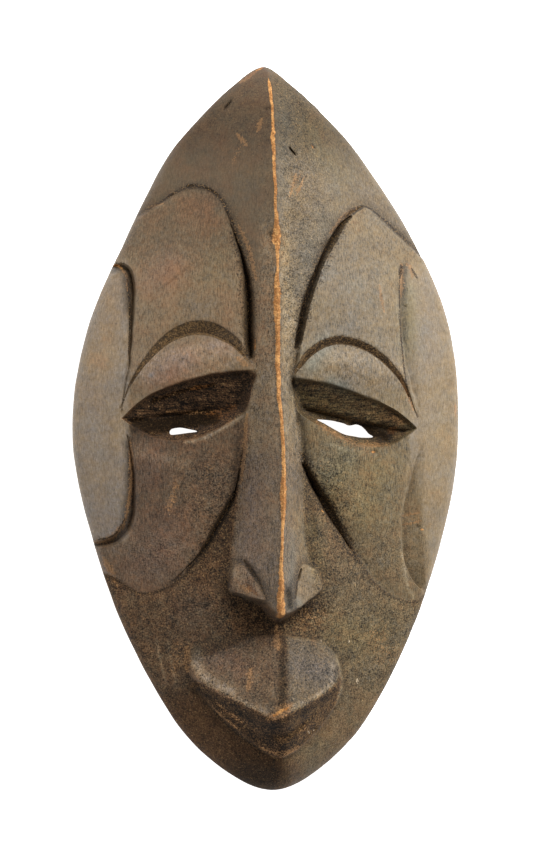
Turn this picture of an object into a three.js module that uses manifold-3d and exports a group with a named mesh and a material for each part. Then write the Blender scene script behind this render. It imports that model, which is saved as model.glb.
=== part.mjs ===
// A miniature face mask, carved from one block of dark stained wood and hollowed from behind.
//
// The mask lies on its flat rim with the face up. Lengths are millimetres: X runs to the viewer's
// right, Y towards the pointed top and Z out of the face. Left and right are the viewer's.
// The carving is one height over the plan, built up in the order in which a carver cuts it:
// the swelling of the face, the raised cheek panels, the long ridge of brow and nose, then the
// grooves, eye sockets and lips. The face was carved by eye, so its two halves differ.

import * as THREE from 'three';
import { mergeVertices } from 'three/addons/utils/BufferGeometryUtils.js';
import Module from 'manifold-3d';

const wasm = await Module();
wasm.setup();

// Driving dimensions
const HALF_HEIGHT = 80.0;
const HALF_WIDTH = 43.0;
const BACK = 0.0;
const RIM_HEIGHT = 5.0;
const RIM_ROUNDING = 1.8;
const RIM_WIDTH = 5.0;
const WALL = 6.5;
const NOSE_HEIGHT = 27.8;
const LIP_HEIGHT = 25.0;

// The hollow starts with a small step inside the rim and rounds up into the roof behind the face.
const HOLLOW_DEPTH = 13.0;
const HOLLOW_ROUNDING = 9.0;
const HOLLOW_STEP = 0.8;
const HOLLOW_BLEND = 1.5;
// At the pointed ends the rim is wider by this share, from the given height Y on.
const END_WIDENING = 1.1;
const END_START = 50.0;

// Spacing of the facets: along carved lines, round the rim, and on the open faces between them.
const LINE_STEP = 1.5;
const WING_STEP = 1.2;
const RIM_STEP = 3.0;
const OPEN_STEP = 4.0;
const HOLLOW_OPEN_STEP = 5.5;
const CLOSEST = 0.3;
const ROW_GAP = 0.36;

// The edge of the mask, from the pointed top down the left side and up the right.
const OUTLINE = [
  [-0.7, 80.0], [-7.8, 75.4], [-15.1, 68.2], [-22.4, 59.2], [-31.2, 41.5], [-38.9, 23.8],
  [-42.8, 3.5], [-40.7, -15.7], [-32.3, -42.1], [-20.4, -64.3], [-9.6, -75.3],
  [1.1, -80.0], [11.2, -75.9], [22.2, -64.8], [33.6, -42.7], [41.6, -16.0],
  [43.2, 5.0], [40.7, 24.2], [33.0, 42.0], [21.3, 59.7], [12.9, 68.5], [5.3, 75.4],
];

// Lengthwise tables of [Y, value].
// The swelling of the face: its height on the middle line, and how full its flanks are.
const CROWN = [
  [-80, RIM_HEIGHT + 0.5], [-77, 10.0], [-72, 13.8], [-60, 15.2], [-45, 16.0], [-30, 16.5], [-15, 17.0],
  [0, 17.8], [15, 19.0], [30, 19.4], [45, 18.9], [60, 17.0], [70, 14.0], [76, 10.0], [80, RIM_HEIGHT + 0.5],
];
const FULLNESS = [
  [-80, 1.15], [-60, 1.45], [-30, 1.6], [10, 1.6], [30, 1.45], [50, 1.2], [70, 1.1], [80, 1.1],
];

// The ridge of forehead and nose: where it runs, how high it stands, and the fall of its two flanks.
const RIDGE_X = [
  [-80, 1.2], [-72, 2.0], [-60, 2.4], [-48, 2.4], [-44, 1.6], [-38, 0.25], [-28, 0.35], [-15, 1.0],
  [-4, 1.1], [10, 0.3], [35, 0.3], [60, -0.1], [76, -0.3], [80, -0.5],
];
const RIDGE_Z = [
  [-48, 17.0], [-44, 25.5], [-38, NOSE_HEIGHT - 0.4], [-30, NOSE_HEIGHT], [-20, 27.0], [-10, 25.8],
  [0, 24.2], [10, 22.4], [20, 21.3], [30, 20.8], [45, 19.9], [60, 18.2], [70, 15.4], [76, 10.9],
  [80, RIM_HEIGHT + 0.5],
];
const FALL_LEFT = [
  [-40, 1.3], [-30, 1.4], [-15, 1.5], [0, 1.15], [10, 1.0], [20, 0.85], [30, 0.72], [45, 0.68],
  [60, 0.62], [76, 0.5],
];
const FALL_RIGHT = [
  [-40, 1.35], [-30, 1.6], [-15, 2.0], [-4, 1.9], [4, 1.7], [12, 1.3], [20, 0.85], [30, 0.7],
  [45, 0.68], [60, 0.62], [76, 0.5],
];
const RIDGE_BLEND = [
  [-45, 0.25], [-20, 0.35], [5, 0.35], [14, 0.5], [28, 0.8], [45, 1.8], [60, 2.2], [80, 1.0],
];
const RIDGE_WORN = 0.3;

// The nose ends in a blunt underside: where it ends across the face, as [X, Y], and its drop to the lip.
const NOSE_END = [
  [-10.0, -35.0], [-5.5, -36.2], [-2.6, -36.8], [-0.9, -38.6], [0.5, -39.8], [1.8, -39.5],
  [4.7, -38.6], [7.5, -37.1], [10.2, -35.4],
];
const NOSE_FALL = 4.2;

// The raised panels of brow and cheek, and how far the ground is cut down beside them, by height Y.
const PANELS = [
  {
    edge: [
      [-32.5, 43.0], [-24.7, 48.6], [-16.7, 52.3], [-11.2, 49.4], [-8.4, 42.5], [-6.5, 34.0],
      [-5.8, 25.0], [-5.7, 17.6], [-4.6, 13.0], [-4.8, 9.0], [-5.4, 2.6], [-6.6, -7.3],
      [-11.5, -19.9], [-18.5, -31.0], [-26.7, -35.7], [-33.5, -32.6], [-40.0, -27.0],
      [-46.0, 0.0], [-42.0, 30.0],
    ],
    relief: [
      [-37, 0.3], [-34, 0.8], [-28, 2.0], [-18, 2.8], [-11, 2.2], [-5, 1.2], [4, 0.9], [14, 1.1],
      [24, 1.0], [34, 1.0], [44, 0.8], [50, 0.45], [54, 0.3],
    ],
  },
  {
    edge: [
      [40.0, 32.0], [33.8, 38.6], [27.9, 43.6], [24.6, 46.4], [20.8, 48.4], [15.9, 45.2],
      [11.1, 37.4], [7.9, 28.2], [5.8, 20.4], [4.9, 13.6], [4.2, 10.6], [5.2, 4.6],
      [6.8, -7.6], [12.4, -16.3], [18.3, -26.2], [23.5, -33.8], [29.5, -37.4],
      [36.0, -36.0], [44.0, -20.0], [47.0, 0.0],
    ],
    relief: [
      [-38, 0.2], [-34, 0.25], [-29, 0.6], [-22, 1.8], [-14, 2.3], [-8, 1.4], [-2, 0.7], [8, 0.7],
      [16, 1.1], [24, 1.0], [34, 1.2], [42, 1.0], [47, 0.5], [52, 0.3],
    ],
  },
];
const PANEL_REACH = 8.0;
const PANEL_WALL = 0.35;
const PANEL_SCOOP = 1.3;
const CHEEK_ROUNDING = [[-40, 0.1], [-32, 0.5], [-15, 1.5], [-2, 0.7], [5, 0.0]];
const CHEEK_ROUNDING_REACH = 2.6;

// Nostril wings: small facets beside the tip of the nose.
const WINGS = [
  [[-7.6, -29.3], [-9.0, -30.4], [-9.3, -33.2], [-8.9, -35.3], [-5.5, -36.3], [-2.6, -36.7], [-4.6, -32.4]],
  [[5.9, -29.5], [9.3, -30.8], [10.3, -33.4], [10.2, -35.2], [7.6, -37.1], [4.9, -38.5], [4.3, -34.4]],
];
const WING_HEIGHT = 20.6;
const WING_REACH = 5.0;
const WING_FALL = 0.45;
const WING_FOOT = 0.9;
const WING_TOP = 0.5;

// The upper lids swell softly between the brow and the eye.
const LIDS = [
  { x: -18.0, y: 14.5, tilt: 0.19, length: 13.0, width: 3.9, swell: 0.9 },
  { x: 18.5, y: 13.0, tilt: -0.13, length: 13.0, width: 3.9, swell: 0.9 },
];

// V-cuts. halfWidth is a table of [share of the way along, half width]; deepest says where across
// the cut its bottom lies, from -1 on the right of travel to +1 on the left. A cut that undercuts
// a panel says with wall on which side that panel stands.
const GROOVES = {
  leftNostril: {
    line: [[-6.5, -28.4], [-4.2, -32.2], [-2.3, -36.6]],
    halfWidth: [[0, 0.4], [0.4, 1.0], [0.8, 0.6], [1, 0.3]], depth: 1.5, deepest: 0.3,
  },
  rightNostril: {
    line: [[5.6, -30.2], [4.7, -33.2], [4.0, -36.6]],
    halfWidth: [[0, 0.3], [0.5, 0.45], [1, 0.3]], depth: 0.9, deepest: -0.3,
  },
  leftForehead: {
    line: [
      [-10.2, 47.0], [-8.3, 41.4], [-6.9, 37.0], [-6.0, 32.1], [-5.7, 26.0], [-5.8, 20.6], [-5.5, 15.9],
    ],
    halfWidth: [[0, 0.15], [0.25, 0.4], [0.42, 0.9], [0.58, 1.4], [0.92, 1.45], [1, 1.1]],
    depth: 2.6, deepest: 0.35, wall: -1,
  },
  rightForehead: {
    line: [[17.6, 46.4], [15.2, 44.0], [12.0, 38.8], [9.0, 32.8], [6.8, 26.8], [5.6, 21.5], [4.9, 17.6]],
    halfWidth: [[0, 0.3], [0.2, 0.9], [0.4, 0.75], [0.65, 0.95], [0.95, 0.85], [1, 0.6]],
    depth: 2.2, deepest: -0.35, wall: 1,
  },
  leftCheek: {
    line: [[-6.9, -6.0], [-7.9, -12.3], [-9.4, -16.5], [-12.3, -21.8], [-15.2, -26.7], [-21.3, -33.2]],
    halfWidth: [[0, 0.15], [0.2, 0.35], [0.34, 0.9], [0.55, 1.0], [0.7, 0.7], [0.8, 0.3], [1, 0.15]],
    depth: 1.7, deepest: 0.35, wall: -1,
  },
  rightCheek: {
    line: [[6.6, -7.6], [8.4, -10.9], [10.4, -14.6], [13.2, -19.6], [18.4, -27.6]],
    halfWidth: [[0, 0.5], [0.25, 1.0], [0.55, 0.95], [0.8, 0.5], [1, 0.15]],
    depth: 1.6, deepest: -0.35, wall: 1,
  },
  leftBrow: {
    line: [
      [-32.6, 4.6], [-30.6, 9.9], [-27.6, 14.6], [-23.6, 18.9], [-20.2, 20.9], [-16.9, 21.9],
      [-13.5, 21.6], [-10.6, 20.1], [-8.2, 18.3], [-5.1, 14.4],
    ],
    halfWidth: [
      [0, 0.15], [0.15, 0.4], [0.29, 0.7], [0.44, 1.1], [0.54, 1.45], [0.66, 1.7], [0.8, 1.4],
      [0.88, 1.1], [1, 0.35],
    ],
    depth: 1.5, deepest: -0.6,
  },
  rightBrow: {
    line: [
      [4.6, 12.3], [7.2, 15.9], [11.2, 18.6], [15.8, 19.1], [21.0, 17.6], [26.0, 14.1],
      [29.8, 9.4], [32.8, 2.2],
    ],
    halfWidth: [[0, 0.4], [0.12, 0.9], [0.3, 0.95], [0.6, 0.9], [0.85, 0.45], [1, 0.12]],
    depth: 1.2, deepest: -0.6,
  },
  leftTemple: {
    line: [
      [-35.2, 33.8], [-33.3, 35.1], [-31.5, 34.8], [-30.6, 32.4], [-30.4, 27.7], [-30.5, 21.2],
      [-31.0, 15.0], [-32.0, 8.8], [-32.6, 3.6],
    ],
    halfWidth: [
      [0, 0.9], [0.1, 1.15], [0.22, 1.35], [0.36, 1.05], [0.55, 0.6], [0.75, 0.3], [1, 0.15],
    ],
    depth: 2.4, deepest: 0.6,
  },
  leftJaw: {
    line: [[-31.3, -1.5], [-30.4, -7.0], [-30.1, -14.0], [-31.0, -20.5], [-33.6, -24.3], [-38.2, -25.4]],
    halfWidth: [[0, 0.15], [0.2, 0.5], [0.4, 0.85], [0.65, 1.1], [0.8, 1.2], [1, 0.7]],
    depth: 1.8, deepest: 0.4,
  },
  rightTemple: {
    line: [[30.9, 36.8], [30.4, 33.8], [30.4, 28.0], [30.8, 20.0], [31.8, 12.0], [33.0, 5.0]],
    halfWidth: [[0, 0.5], [0.12, 1.1], [0.4, 1.6], [0.7, 1.4], [1, 0.4]], depth: 0.9, deepest: -0.75,
  },
  rightJaw: {
    line: [[33.9, -4.0], [32.9, -11.0], [31.8, -19.0], [32.0, -27.0], [33.6, -33.0], [35.6, -36.0]],
    halfWidth: [[0, 0.5], [0.25, 1.6], [0.5, 2.6], [0.75, 2.3], [1, 0.7]], depth: 1.6, deepest: -0.8,
  },
};

// A cut grows shallower as it narrows, by this power, and its walls bulge a little.
const GROOVE_TAPER = 0.8;
const GROOVE_WALLS = 0.9;

// Eye sockets: the upper and lower lid meet at both corners, and a ledge crosses the socket above
// the slit that opens into the hollow.
const EYES = [
  {
    upper: [[-32.7, 2.0], [-27.6, 6.9], [-18.9, 10.5], [-9.9, 12.4], [-3.4, 12.8]],
    lower: [
      [-3.4, 12.8], [-4.6, 8.9], [-6.3, 3.6], [-12.2, -0.1], [-18.6, -2.7], [-25.8, -2.0], [-32.7, 2.0],
    ],
    ledge: [[-33.0, 1.6], [-27.0, 2.6], [-20.5, 3.5], [-12.1, 4.4], [-4.0, 4.6]],
    slit: [
      [-21.8, -1.4], [-21.5, -0.3], [-19.6, 0.0], [-17.6, -0.3], [-15.9, -0.7], [-18.2, -1.1],
      [-20.2, -1.4],
    ],
  },
  {
    upper: [[32.9, -0.1], [27.7, 4.1], [20.0, 7.3], [11.9, 9.9], [3.0, 11.3]],
    lower: [[3.0, 11.3], [4.2, 7.3], [5.8, 3.0], [12.0, -0.6], [18.2, -3.5], [25.6, -3.9], [32.9, -0.1]],
    ledge: [[4.0, 5.4], [12.0, 3.6], [20.0, 1.8], [27.0, 0.4], [33.5, -0.5]],
    slit: [
      [9.9, 1.9], [11.5, 1.9], [13.8, 1.6], [16.3, 1.1], [17.6, 0.6], [19.3, 0.8], [20.7, 0.4],
      [21.7, -0.4], [22.5, -1.3], [23.5, -2.0], [20.9, -2.1], [18.9, -1.8], [16.3, -1.3],
      [13.6, -0.1], [11.5, 1.1],
    ],
  },
];
const SOCKET_FLOOR = 8.2;
const SOCKET_WEB = 1.0;
const SOCKET_BLEND = 0.5;
const LID_STEP = 0.7;
const LID_STEP_WIDTH = 0.7;
const SOCKET_FALL = 0.56;
const LEDGE_DROP = 2.4;
const LEDGE_START = -0.2;
const LEDGE_END = 1.4;
const LEDGE_INSET = 0.5;
const LOWER_LID_FALL = 2.6;

// Lips: the upper one is a roof tilted out to the mouth, the lower one a wedge set back below it.
const UPPER_LIP = [
  [-12.5, -46.2], [-15.8, -47.5], [-17.4, -50.2], [-17.0, -53.2], [-14.9, -55.5], [-11.6, -57.3],
  [-6.3, -59.8], [-2.2, -61.9], [-0.4, -62.3], [2.4, -61.2], [6.3, -59.6], [11.0, -57.2], [14.0, -54.7],
  [14.3, -51.4], [12.6, -48.0], [8.0, -46.0], [0.0, -45.0],
];
const LOWER_LIP = [
  [-15.8, -55.4], [-14.9, -58.0], [-11.1, -62.4], [-7.4, -65.9], [-3.8, -68.7], [-1.0, -70.6],
  [1.2, -71.5], [3.4, -71.1], [5.8, -69.8], [8.7, -67.4], [11.8, -64.0], [14.4, -60.2],
  [15.6, -56.5], [13.6, -53.6], [2.0, -54.0],
];
const UPPER_LIP_Z = [[-63, LIP_HEIGHT], [-54, 22.2], [-47, 18.8], [-43, 17.0]];
const LIP_FALL = 0.42;
const LIP_CURVE = 0.006;
const LIP_SIDE_FALL = 4.5;
const MOUTH_FALL = 1.35;
const MOUTH_FALL_GROWTH = 0.03;
const LOWER_LIP_STEP = 1.3;
const LOWER_LIP_RISE = 0.85;
const LOWER_LIP_MOST = 2.7;
const LIP_REACH = 7.5;
const LIP_TOP = -47.0;
const LIP_BLEND = 0.35;

const clamp = THREE.MathUtils.clamp;
const smoothstep = (from, to, value) => THREE.MathUtils.smoothstep(value, from, to);
const mix = THREE.MathUtils.lerp;

// Smooth maximum and minimum: the two heights meet in a fillet of about this size.
function softMax(a, b, size) {
  const share = clamp(0.5 + (0.5 * (a - b)) / size, 0, 1);
  return b + (a - b) * share + size * share * (1 - share);
}

function softMin(a, b, size) {
  return -softMax(-a, -b, size);
}

// A smooth curve through a table of [position, value], which never overshoots the values.
function throughTable(table) {
  const last = table.length - 1;
  const rise = table.slice(1).map(([at, value], i) => (value - table[i][1]) / (at - table[i][0]));
  const slope = table.map((row, i) => {
    if (i === 0) return rise[0];
    if (i === last) return rise[last - 1];
    const before = rise[i - 1];
    const after = rise[i];
    return before * after <= 0 ? 0 : (2 * before * after) / (before + after);
  });
  return (position) => {
    const at = clamp(position, table[0][0], table[last][0]);
    let i = 0;
    while (i < last - 1 && at > table[i + 1][0]) i += 1;
    const span = table[i + 1][0] - table[i][0];
    const t = (at - table[i][0]) / span;
    const t2 = t * t;
    const t3 = t2 * t;
    return (2 * t3 - 3 * t2 + 1) * table[i][1] + (t3 - 2 * t2 + t) * span * slope[i]
      + (3 * t2 - 2 * t3) * table[i + 1][1] + (t3 - t2) * span * slope[i + 1];
  };
}

// A curve through hand-placed points, as a fine polyline that can be measured against.
function curve(points, closed = false, steps = 8) {
  const path = new THREE.CatmullRomCurve3(
    points.map(([x, y]) => new THREE.Vector3(x, y, 0)), closed, 'catmullrom', 0.5,
  );
  const spans = closed ? points.length : points.length - 1;
  const line = path.getPoints(spans * steps).map((p) => [p.x, p.y]);
  if (closed) line.pop();
  const ends = closed ? [...line.slice(1), line[0]] : line.slice(1);
  let length = 0;
  const segments = ends.map(([bx, by], i) => {
    const [ax, ay] = line[i];
    const segment = { ax, ay, dx: bx - ax, dy: by - ay, start: length };
    segment.length = Math.hypot(segment.dx, segment.dy);
    length += segment.length;
    return segment;
  });
  const xs = line.map((p) => p[0]);
  const ys = line.map((p) => p[1]);
  const box = [Math.min(...xs), Math.min(...ys), Math.max(...xs), Math.max(...ys)];
  return { line, segments, length, box, closed };
}

function isNear({ box }, x, y, margin) {
  return x > box[0] - margin && x < box[2] + margin && y > box[1] - margin && y < box[3] + margin;
}

// Distance to a curve, share of the way along it, and the side: +1 on the left of travel.
function nearest({ segments, length }, x, y) {
  let best = Infinity;
  let along = 0;
  let side = 1;
  for (const s of segments) {
    const t = clamp(((x - s.ax) * s.dx + (y - s.ay) * s.dy) / (s.length * s.length), 0, 1);
    const offX = x - s.ax - t * s.dx;
    const offY = y - s.ay - t * s.dy;
    const distance = Math.hypot(offX, offY);
    if (distance < best) {
      best = distance;
      along = (s.start + t * s.length) / length;
      side = Math.sign(s.dx * offY - s.dy * offX);
    }
  }
  return { distance: best, along, side };
}

function isInside({ segments }, x, y) {
  let hit = false;
  for (const s of segments) {
    const crosses = s.ay > y !== s.ay + s.dy > y;
    if (crosses && x < s.ax + ((y - s.ay) * s.dx) / s.dy) hit = !hit;
  }
  return hit;
}

// Distance inside a closed curve, negative outside it and never below -reach.
function depthInside(shape, x, y, reach) {
  if (!isNear(shape, x, y, reach)) return -reach;
  const { distance } = nearest(shape, x, y);
  return isInside(shape, x, y) ? distance : -Math.min(distance, reach);
}

// Two curves run together as one closed edge.
function joined(first, second) {
  const later = second.segments.map((s) => ({ ...s, start: s.start + first.length }));
  const box = first.box.map((value, i) => (i < 2 ? Math.min : Math.max)(value, second.box[i]));
  return {
    line: [...first.line, ...second.line.slice(1, -1)],
    segments: [...first.segments, ...later],
    length: first.length + second.length,
    box,
    closed: true,
  };
}

// Points at even stations along a curve, one for each offset to the left of travel.
// Every row has the same stations, so the facets between two rows keep clean edges.
function stations(path, step, offsetsAt) {
  const points = [];
  const count = Math.max(2, Math.round(path.length / step));
  const last = path.closed ? count - 1 : count;
  let i = 0;
  for (let station = 0; station <= last; station += 1) {
    const share = station / count;
    while (i < path.segments.length - 1 && path.segments[i + 1].start <= share * path.length) i += 1;
    const s = path.segments[i];
    const t = (share * path.length - s.start) / s.length;
    const x = s.ax + t * s.dx;
    const y = s.ay + t * s.dy;
    for (const offset of offsetsAt(share, x, y, -s.dy / s.length, s.dx / s.length)) {
      points.push([x - (s.dy / s.length) * offset, y + (s.dx / s.length) * offset]);
    }
  }
  return points;
}

const outline = curve(OUTLINE, true, 10);
const tables = {
  crown: throughTable(CROWN),
  fullness: throughTable(FULLNESS),
  ridgeX: throughTable(RIDGE_X),
  ridgeZ: throughTable(RIDGE_Z),
  fallLeft: throughTable(FALL_LEFT),
  fallRight: throughTable(FALL_RIGHT),
  blend: throughTable(RIDGE_BLEND),
  cheekRounding: throughTable(CHEEK_ROUNDING),
  upperLip: throughTable(UPPER_LIP_Z),
  noseEnd: throughTable(NOSE_END),
};
const panels = PANELS.map(({ edge, relief }) => ({
  edge: curve(edge, true),
  relief: throughTable(relief),
}));
const wings = WINGS.map((edge) => curve(edge, true));
const grooves = Object.values(GROOVES).map((groove) => ({
  ...groove,
  path: curve(groove.line),
  width: throughTable(groove.halfWidth),
  widest: Math.max(...groove.halfWidth.map((row) => row[1])),
}));
const eyes = EYES.map(({ upper, lower, ledge, slit }) => ({
  upper: curve(upper),
  lower: curve(lower),
  ledge: curve(ledge),
  slit: curve(slit, true, 4),
  edge: joined(curve(upper), curve(lower)),
}));
const hollowEdge = curve(hollowOutline(), true);
const upperLip = curve(UPPER_LIP, true);
const lowerLip = curve(LOWER_LIP, true);

// The left and right edge of the mask at height y.
function edgesAt(y) {
  let left = 0;
  let right = 0;
  for (const s of outline.segments) {
    if (s.ay > y === s.ay + s.dy > y) continue;
    const x = s.ax + ((y - s.ay) * s.dx) / s.dy;
    left = Math.min(left, x);
    right = Math.max(right, x);
  }
  return [left, right];
}

// The plain swelling of the face, before any carving.
function swelling(x, y) {
  const ridge = tables.ridgeX(y);
  const [left, right] = edgesAt(y);
  const halfWidth = Math.max(x < ridge ? ridge - left : right - ridge, 0.6);
  const share = clamp(Math.abs(x - ridge) / halfWidth, 0, 1);
  return RIM_HEIGHT + (tables.crown(y) - RIM_HEIGHT) * (1 - share ** tables.fullness(y));
}

// The two planes that meet in the ridge of forehead and nose, cut off below the tip of the nose.
function ridgePlanes(x, y) {
  const ridge = tables.ridgeX(y);
  const away = Math.hypot(x - ridge, RIDGE_WORN) - RIDGE_WORN;
  const fall = x < ridge ? tables.fallLeft(y) : tables.fallRight(y);
  return tables.ridgeZ(y) - fall * away - NOSE_FALL * Math.max(tables.noseEnd(x) - y, 0);
}

// The face with its raised panels: the ground is cut down beside them, most at their edge.
function panelled(x, y) {
  const face = swelling(x, y);
  let cutDown = 0;
  let within = -Infinity;
  for (const { edge, relief } of panels) {
    const depth = depthInside(edge, x, y, PANEL_REACH);
    const share = clamp(1 - Math.max(-depth, 0) / PANEL_REACH, 0, 1);
    cutDown = Math.max(cutDown, relief(y) * share ** PANEL_SCOOP);
    within = Math.max(within, depth);
  }
  const rounding = tables.cheekRounding(y) * Math.exp(-Math.max(within, 0) / CHEEK_ROUNDING_REACH);
  return mix(face - cutDown, face - rounding, smoothstep(-PANEL_WALL, PANEL_WALL, within));
}

function grooveDepth(groove, x, y) {
  if (!isNear(groove.path, x, y, groove.widest)) return 0;
  const { distance, along, side } = nearest(groove.path, x, y);
  const width = groove.width(along);
  const across = (side * distance) / width;
  if (Math.abs(across) >= 1) return 0;
  const share = across < groove.deepest
    ? (across + 1) / (1 + groove.deepest)
    : (1 - across) / (1 - groove.deepest);
  return groove.depth * (width / groove.widest) ** GROOVE_TAPER * share ** GROOVE_WALLS;
}

function socketDepth(eye, x, y) {
  if (!isNear(eye.edge, x, y, 0) || !isInside(eye.edge, x, y)) return 0;
  const fromUpper = nearest(eye.upper, x, y).distance;
  const fromLower = nearest(eye.lower, x, y).distance;
  const ledge = nearest(eye.ledge, x, y);
  const below = -ledge.side * ledge.distance;
  const upperWall = LID_STEP * Math.min(fromUpper / LID_STEP_WIDTH, 1) + SOCKET_FALL * fromUpper
    + LEDGE_DROP * smoothstep(LEDGE_START, LEDGE_END, below);
  return Math.max(softMin(upperWall, LOWER_LID_FALL * fromLower, SOCKET_BLEND), 0);
}

// The roof of the hollow behind the face: a wall's thickness under the swelling, rounded at the rim.
function hollowRoof(x, y) {
  const inset = Math.max(depthInside(hollowEdge, x, y, 1), 0);
  const rise = 1 - Math.min(inset / HOLLOW_ROUNDING, 1);
  const bowl = HOLLOW_STEP + (HOLLOW_DEPTH - HOLLOW_STEP) * Math.sqrt(1 - rise * rise);
  return Math.max(softMin(bowl, swelling(x, y) - WALL, HOLLOW_BLEND), HOLLOW_STEP);
}

// The wedge of the lower lip, on top of the face.
function withLowerLip(x, y, height) {
  const inside = depthInside(lowerLip, x, y, LIP_REACH);
  const rise = Math.min(LOWER_LIP_RISE * Math.max(inside - PANEL_WALL, 0), LOWER_LIP_MOST);
  return height + (LOWER_LIP_STEP + rise) * smoothstep(-PANEL_WALL, PANEL_WALL, inside);
}

// The roof of the upper lip, which falls steeply at its sides and slants back under the mouth edge.
function upperLipRoof(x, y) {
  const inside = depthInside(upperLip, x, y, LIP_REACH);
  if (inside <= -LIP_REACH) return -Infinity;
  const away = Math.hypot(x - tables.ridgeX(y), RIDGE_WORN) - RIDGE_WORN;
  const roof = tables.upperLip(y) - LIP_FALL * away - LIP_CURVE * away * away;
  const underMouth = smoothstep(-PANEL_WALL, 1, depthInside(lowerLip, x, y, LIP_REACH));
  const fall = mix(LIP_SIDE_FALL, MOUTH_FALL + MOUTH_FALL_GROWTH * away, underMouth);
  return roof - fall * Math.max(-inside, 0);
}

// The carved face without the roof of the upper lip.
function withoutUpperLip(x, y) {
  let height = softMax(panelled(x, y), ridgePlanes(x, y), tables.blend(y));
  for (const wing of wings) {
    const inWing = depthInside(wing, x, y, WING_REACH);
    const facet = WING_HEIGHT - WING_FALL * (Math.abs(x - tables.ridgeX(y)) - WING_REACH);
    height += Math.max(facet - height, 0) * smoothstep(-WING_FOOT, WING_TOP, inWing);
  }
  for (const lid of LIDS) {
    const u = x - lid.x;
    const v = y - lid.y - lid.tilt * u;
    height += lid.swell * Math.exp(-((u / lid.length) ** 4) - (v / lid.width) ** 2);
  }
  for (const groove of grooves) height -= grooveDepth(groove, x, y);
  for (const eye of eyes) {
    const depth = socketDepth(eye, x, y);
    const floor = Math.max(SOCKET_FLOOR, hollowRoof(x, y) + SOCKET_WEB);
    if (depth > 0) height = Math.max(height - depth, Math.min(floor, height));
  }
  return withLowerLip(x, y, height);
}

// The carved front: the height of the wood over any point of the plan.
function front(x, y) {
  const roof = upperLipRoof(x, y);
  const face = withoutUpperLip(x, y);
  const height = roof > -Infinity ? softMax(face, roof, LIP_BLEND) : face;
  const fromEdge = clamp(depthInside(outline, x, y, 2 * RIM_ROUNDING), 0, RIM_ROUNDING);
  const gap = RIM_ROUNDING - fromEdge;
  return height - RIM_ROUNDING + Math.sqrt(RIM_ROUNDING ** 2 - gap * gap);
}

// The edge of the hollow: the outline drawn in by the width of the rim, further at the two ends.
function hollowOutline() {
  return OUTLINE.map(([x, y]) => {
    const widening = 1 + END_WIDENING * smoothstep(END_START, HALF_HEIGHT, Math.abs(y));
    const along = new THREE.Vector2(x / HALF_WIDTH, y / HALF_HEIGHT).normalize();
    const inset = RIM_WIDTH * widening;
    return [x - inset * along.x * Math.abs(along.x), y - inset * along.y * Math.abs(along.y)];
  });
}

// Delaunay triangles over scattered points: each new point reopens the triangles whose circle holds it.
function triangulate(points) {
  const count = points.length;
  const far = 10 * HALF_HEIGHT;
  const all = [...points, [-far, -far], [far, -far], [0, far]];
  const circle = (a, b, c) => {
    const [ax, ay] = all[a];
    const [bx, by] = all[b];
    const [cx, cy] = all[c];
    const d = 2 * (ax * (by - cy) + bx * (cy - ay) + cx * (ay - by));
    const a2 = ax * ax + ay * ay;
    const b2 = bx * bx + by * by;
    const c2 = cx * cx + cy * cy;
    const x = (a2 * (by - cy) + b2 * (cy - ay) + c2 * (ay - by)) / d;
    const y = (a2 * (cx - bx) + b2 * (ax - cx) + c2 * (bx - ax)) / d;
    return { a, b, c, x, y, r2: (ax - x) ** 2 + (ay - y) ** 2 };
  };
  let triangles = [circle(count, count + 1, count + 2)];
  points.forEach(([x, y], index) => {
    const kept = [];
    const edges = new Map();
    for (const t of triangles) {
      if ((x - t.x) ** 2 + (y - t.y) ** 2 > t.r2) {
        kept.push(t);
        continue;
      }
      for (const [from, to] of [[t.a, t.b], [t.b, t.c], [t.c, t.a]]) {
        const twin = `${to},${from}`;
        if (edges.has(twin)) edges.delete(twin);
        else edges.set(`${from},${to}`, [from, to]);
      }
    }
    for (const [from, to] of edges.values()) kept.push(circle(from, to, index));
    triangles = kept;
  });
  return triangles.filter((t) => t.a < count && t.b < count && t.c < count).map((t) => [t.a, t.b, t.c]);
}

// Adds points that keep a least distance from those already there.
function addPoints(points, more, closest) {
  for (const [x, y] of more) {
    if (points.every(([px, py]) => Math.hypot(px - x, py - y) >= closest)) points.push([x, y]);
  }
}

// Points in staggered, slightly swaying rows that fill the inside of a closed curve.
function openPoints(shape, step) {
  const points = [];
  const [left, bottom, right, top] = shape.box;
  const rowStep = step * Math.sqrt(0.75);
  for (let row = 0; bottom + row * rowStep < top; row += 1) {
    for (let column = 0; left + column * step < right; column += 1) {
      const sway = 0.12 * step * Math.sin(3.7 * row + 2.3 * column);
      const x = left + (column + 0.5 * (row % 2)) * step + sway;
      const y = bottom + row * rowStep + 0.5 * sway;
      if (depthInside(shape, x, y, step) > 0.5 * step) points.push([x, y]);
    }
  }
  return points;
}

// The edges of a set of triangles that belong to one triangle alone, as a loop of point numbers.
function rimLoop(triangles) {
  const edges = new Map();
  for (const [a, b, c] of triangles) {
    for (const [from, to] of [[a, b], [b, c], [c, a]]) edges.set(`${from},${to}`, [from, to]);
  }
  const next = new Map();
  for (const [from, to] of edges.values()) {
    if (!edges.has(`${to},${from}`)) next.set(from, to);
  }
  const loop = [next.keys().next().value];
  while (next.get(loop.at(-1)) !== loop[0]) loop.push(next.get(loop.at(-1)));
  return loop;
}

function toSolid(vertices, faces) {
  return new wasm.Manifold(new wasm.Mesh({
    numProp: 3,
    vertProperties: Float32Array.from(vertices),
    triVerts: Uint32Array.from(faces),
  }));
}

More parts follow.
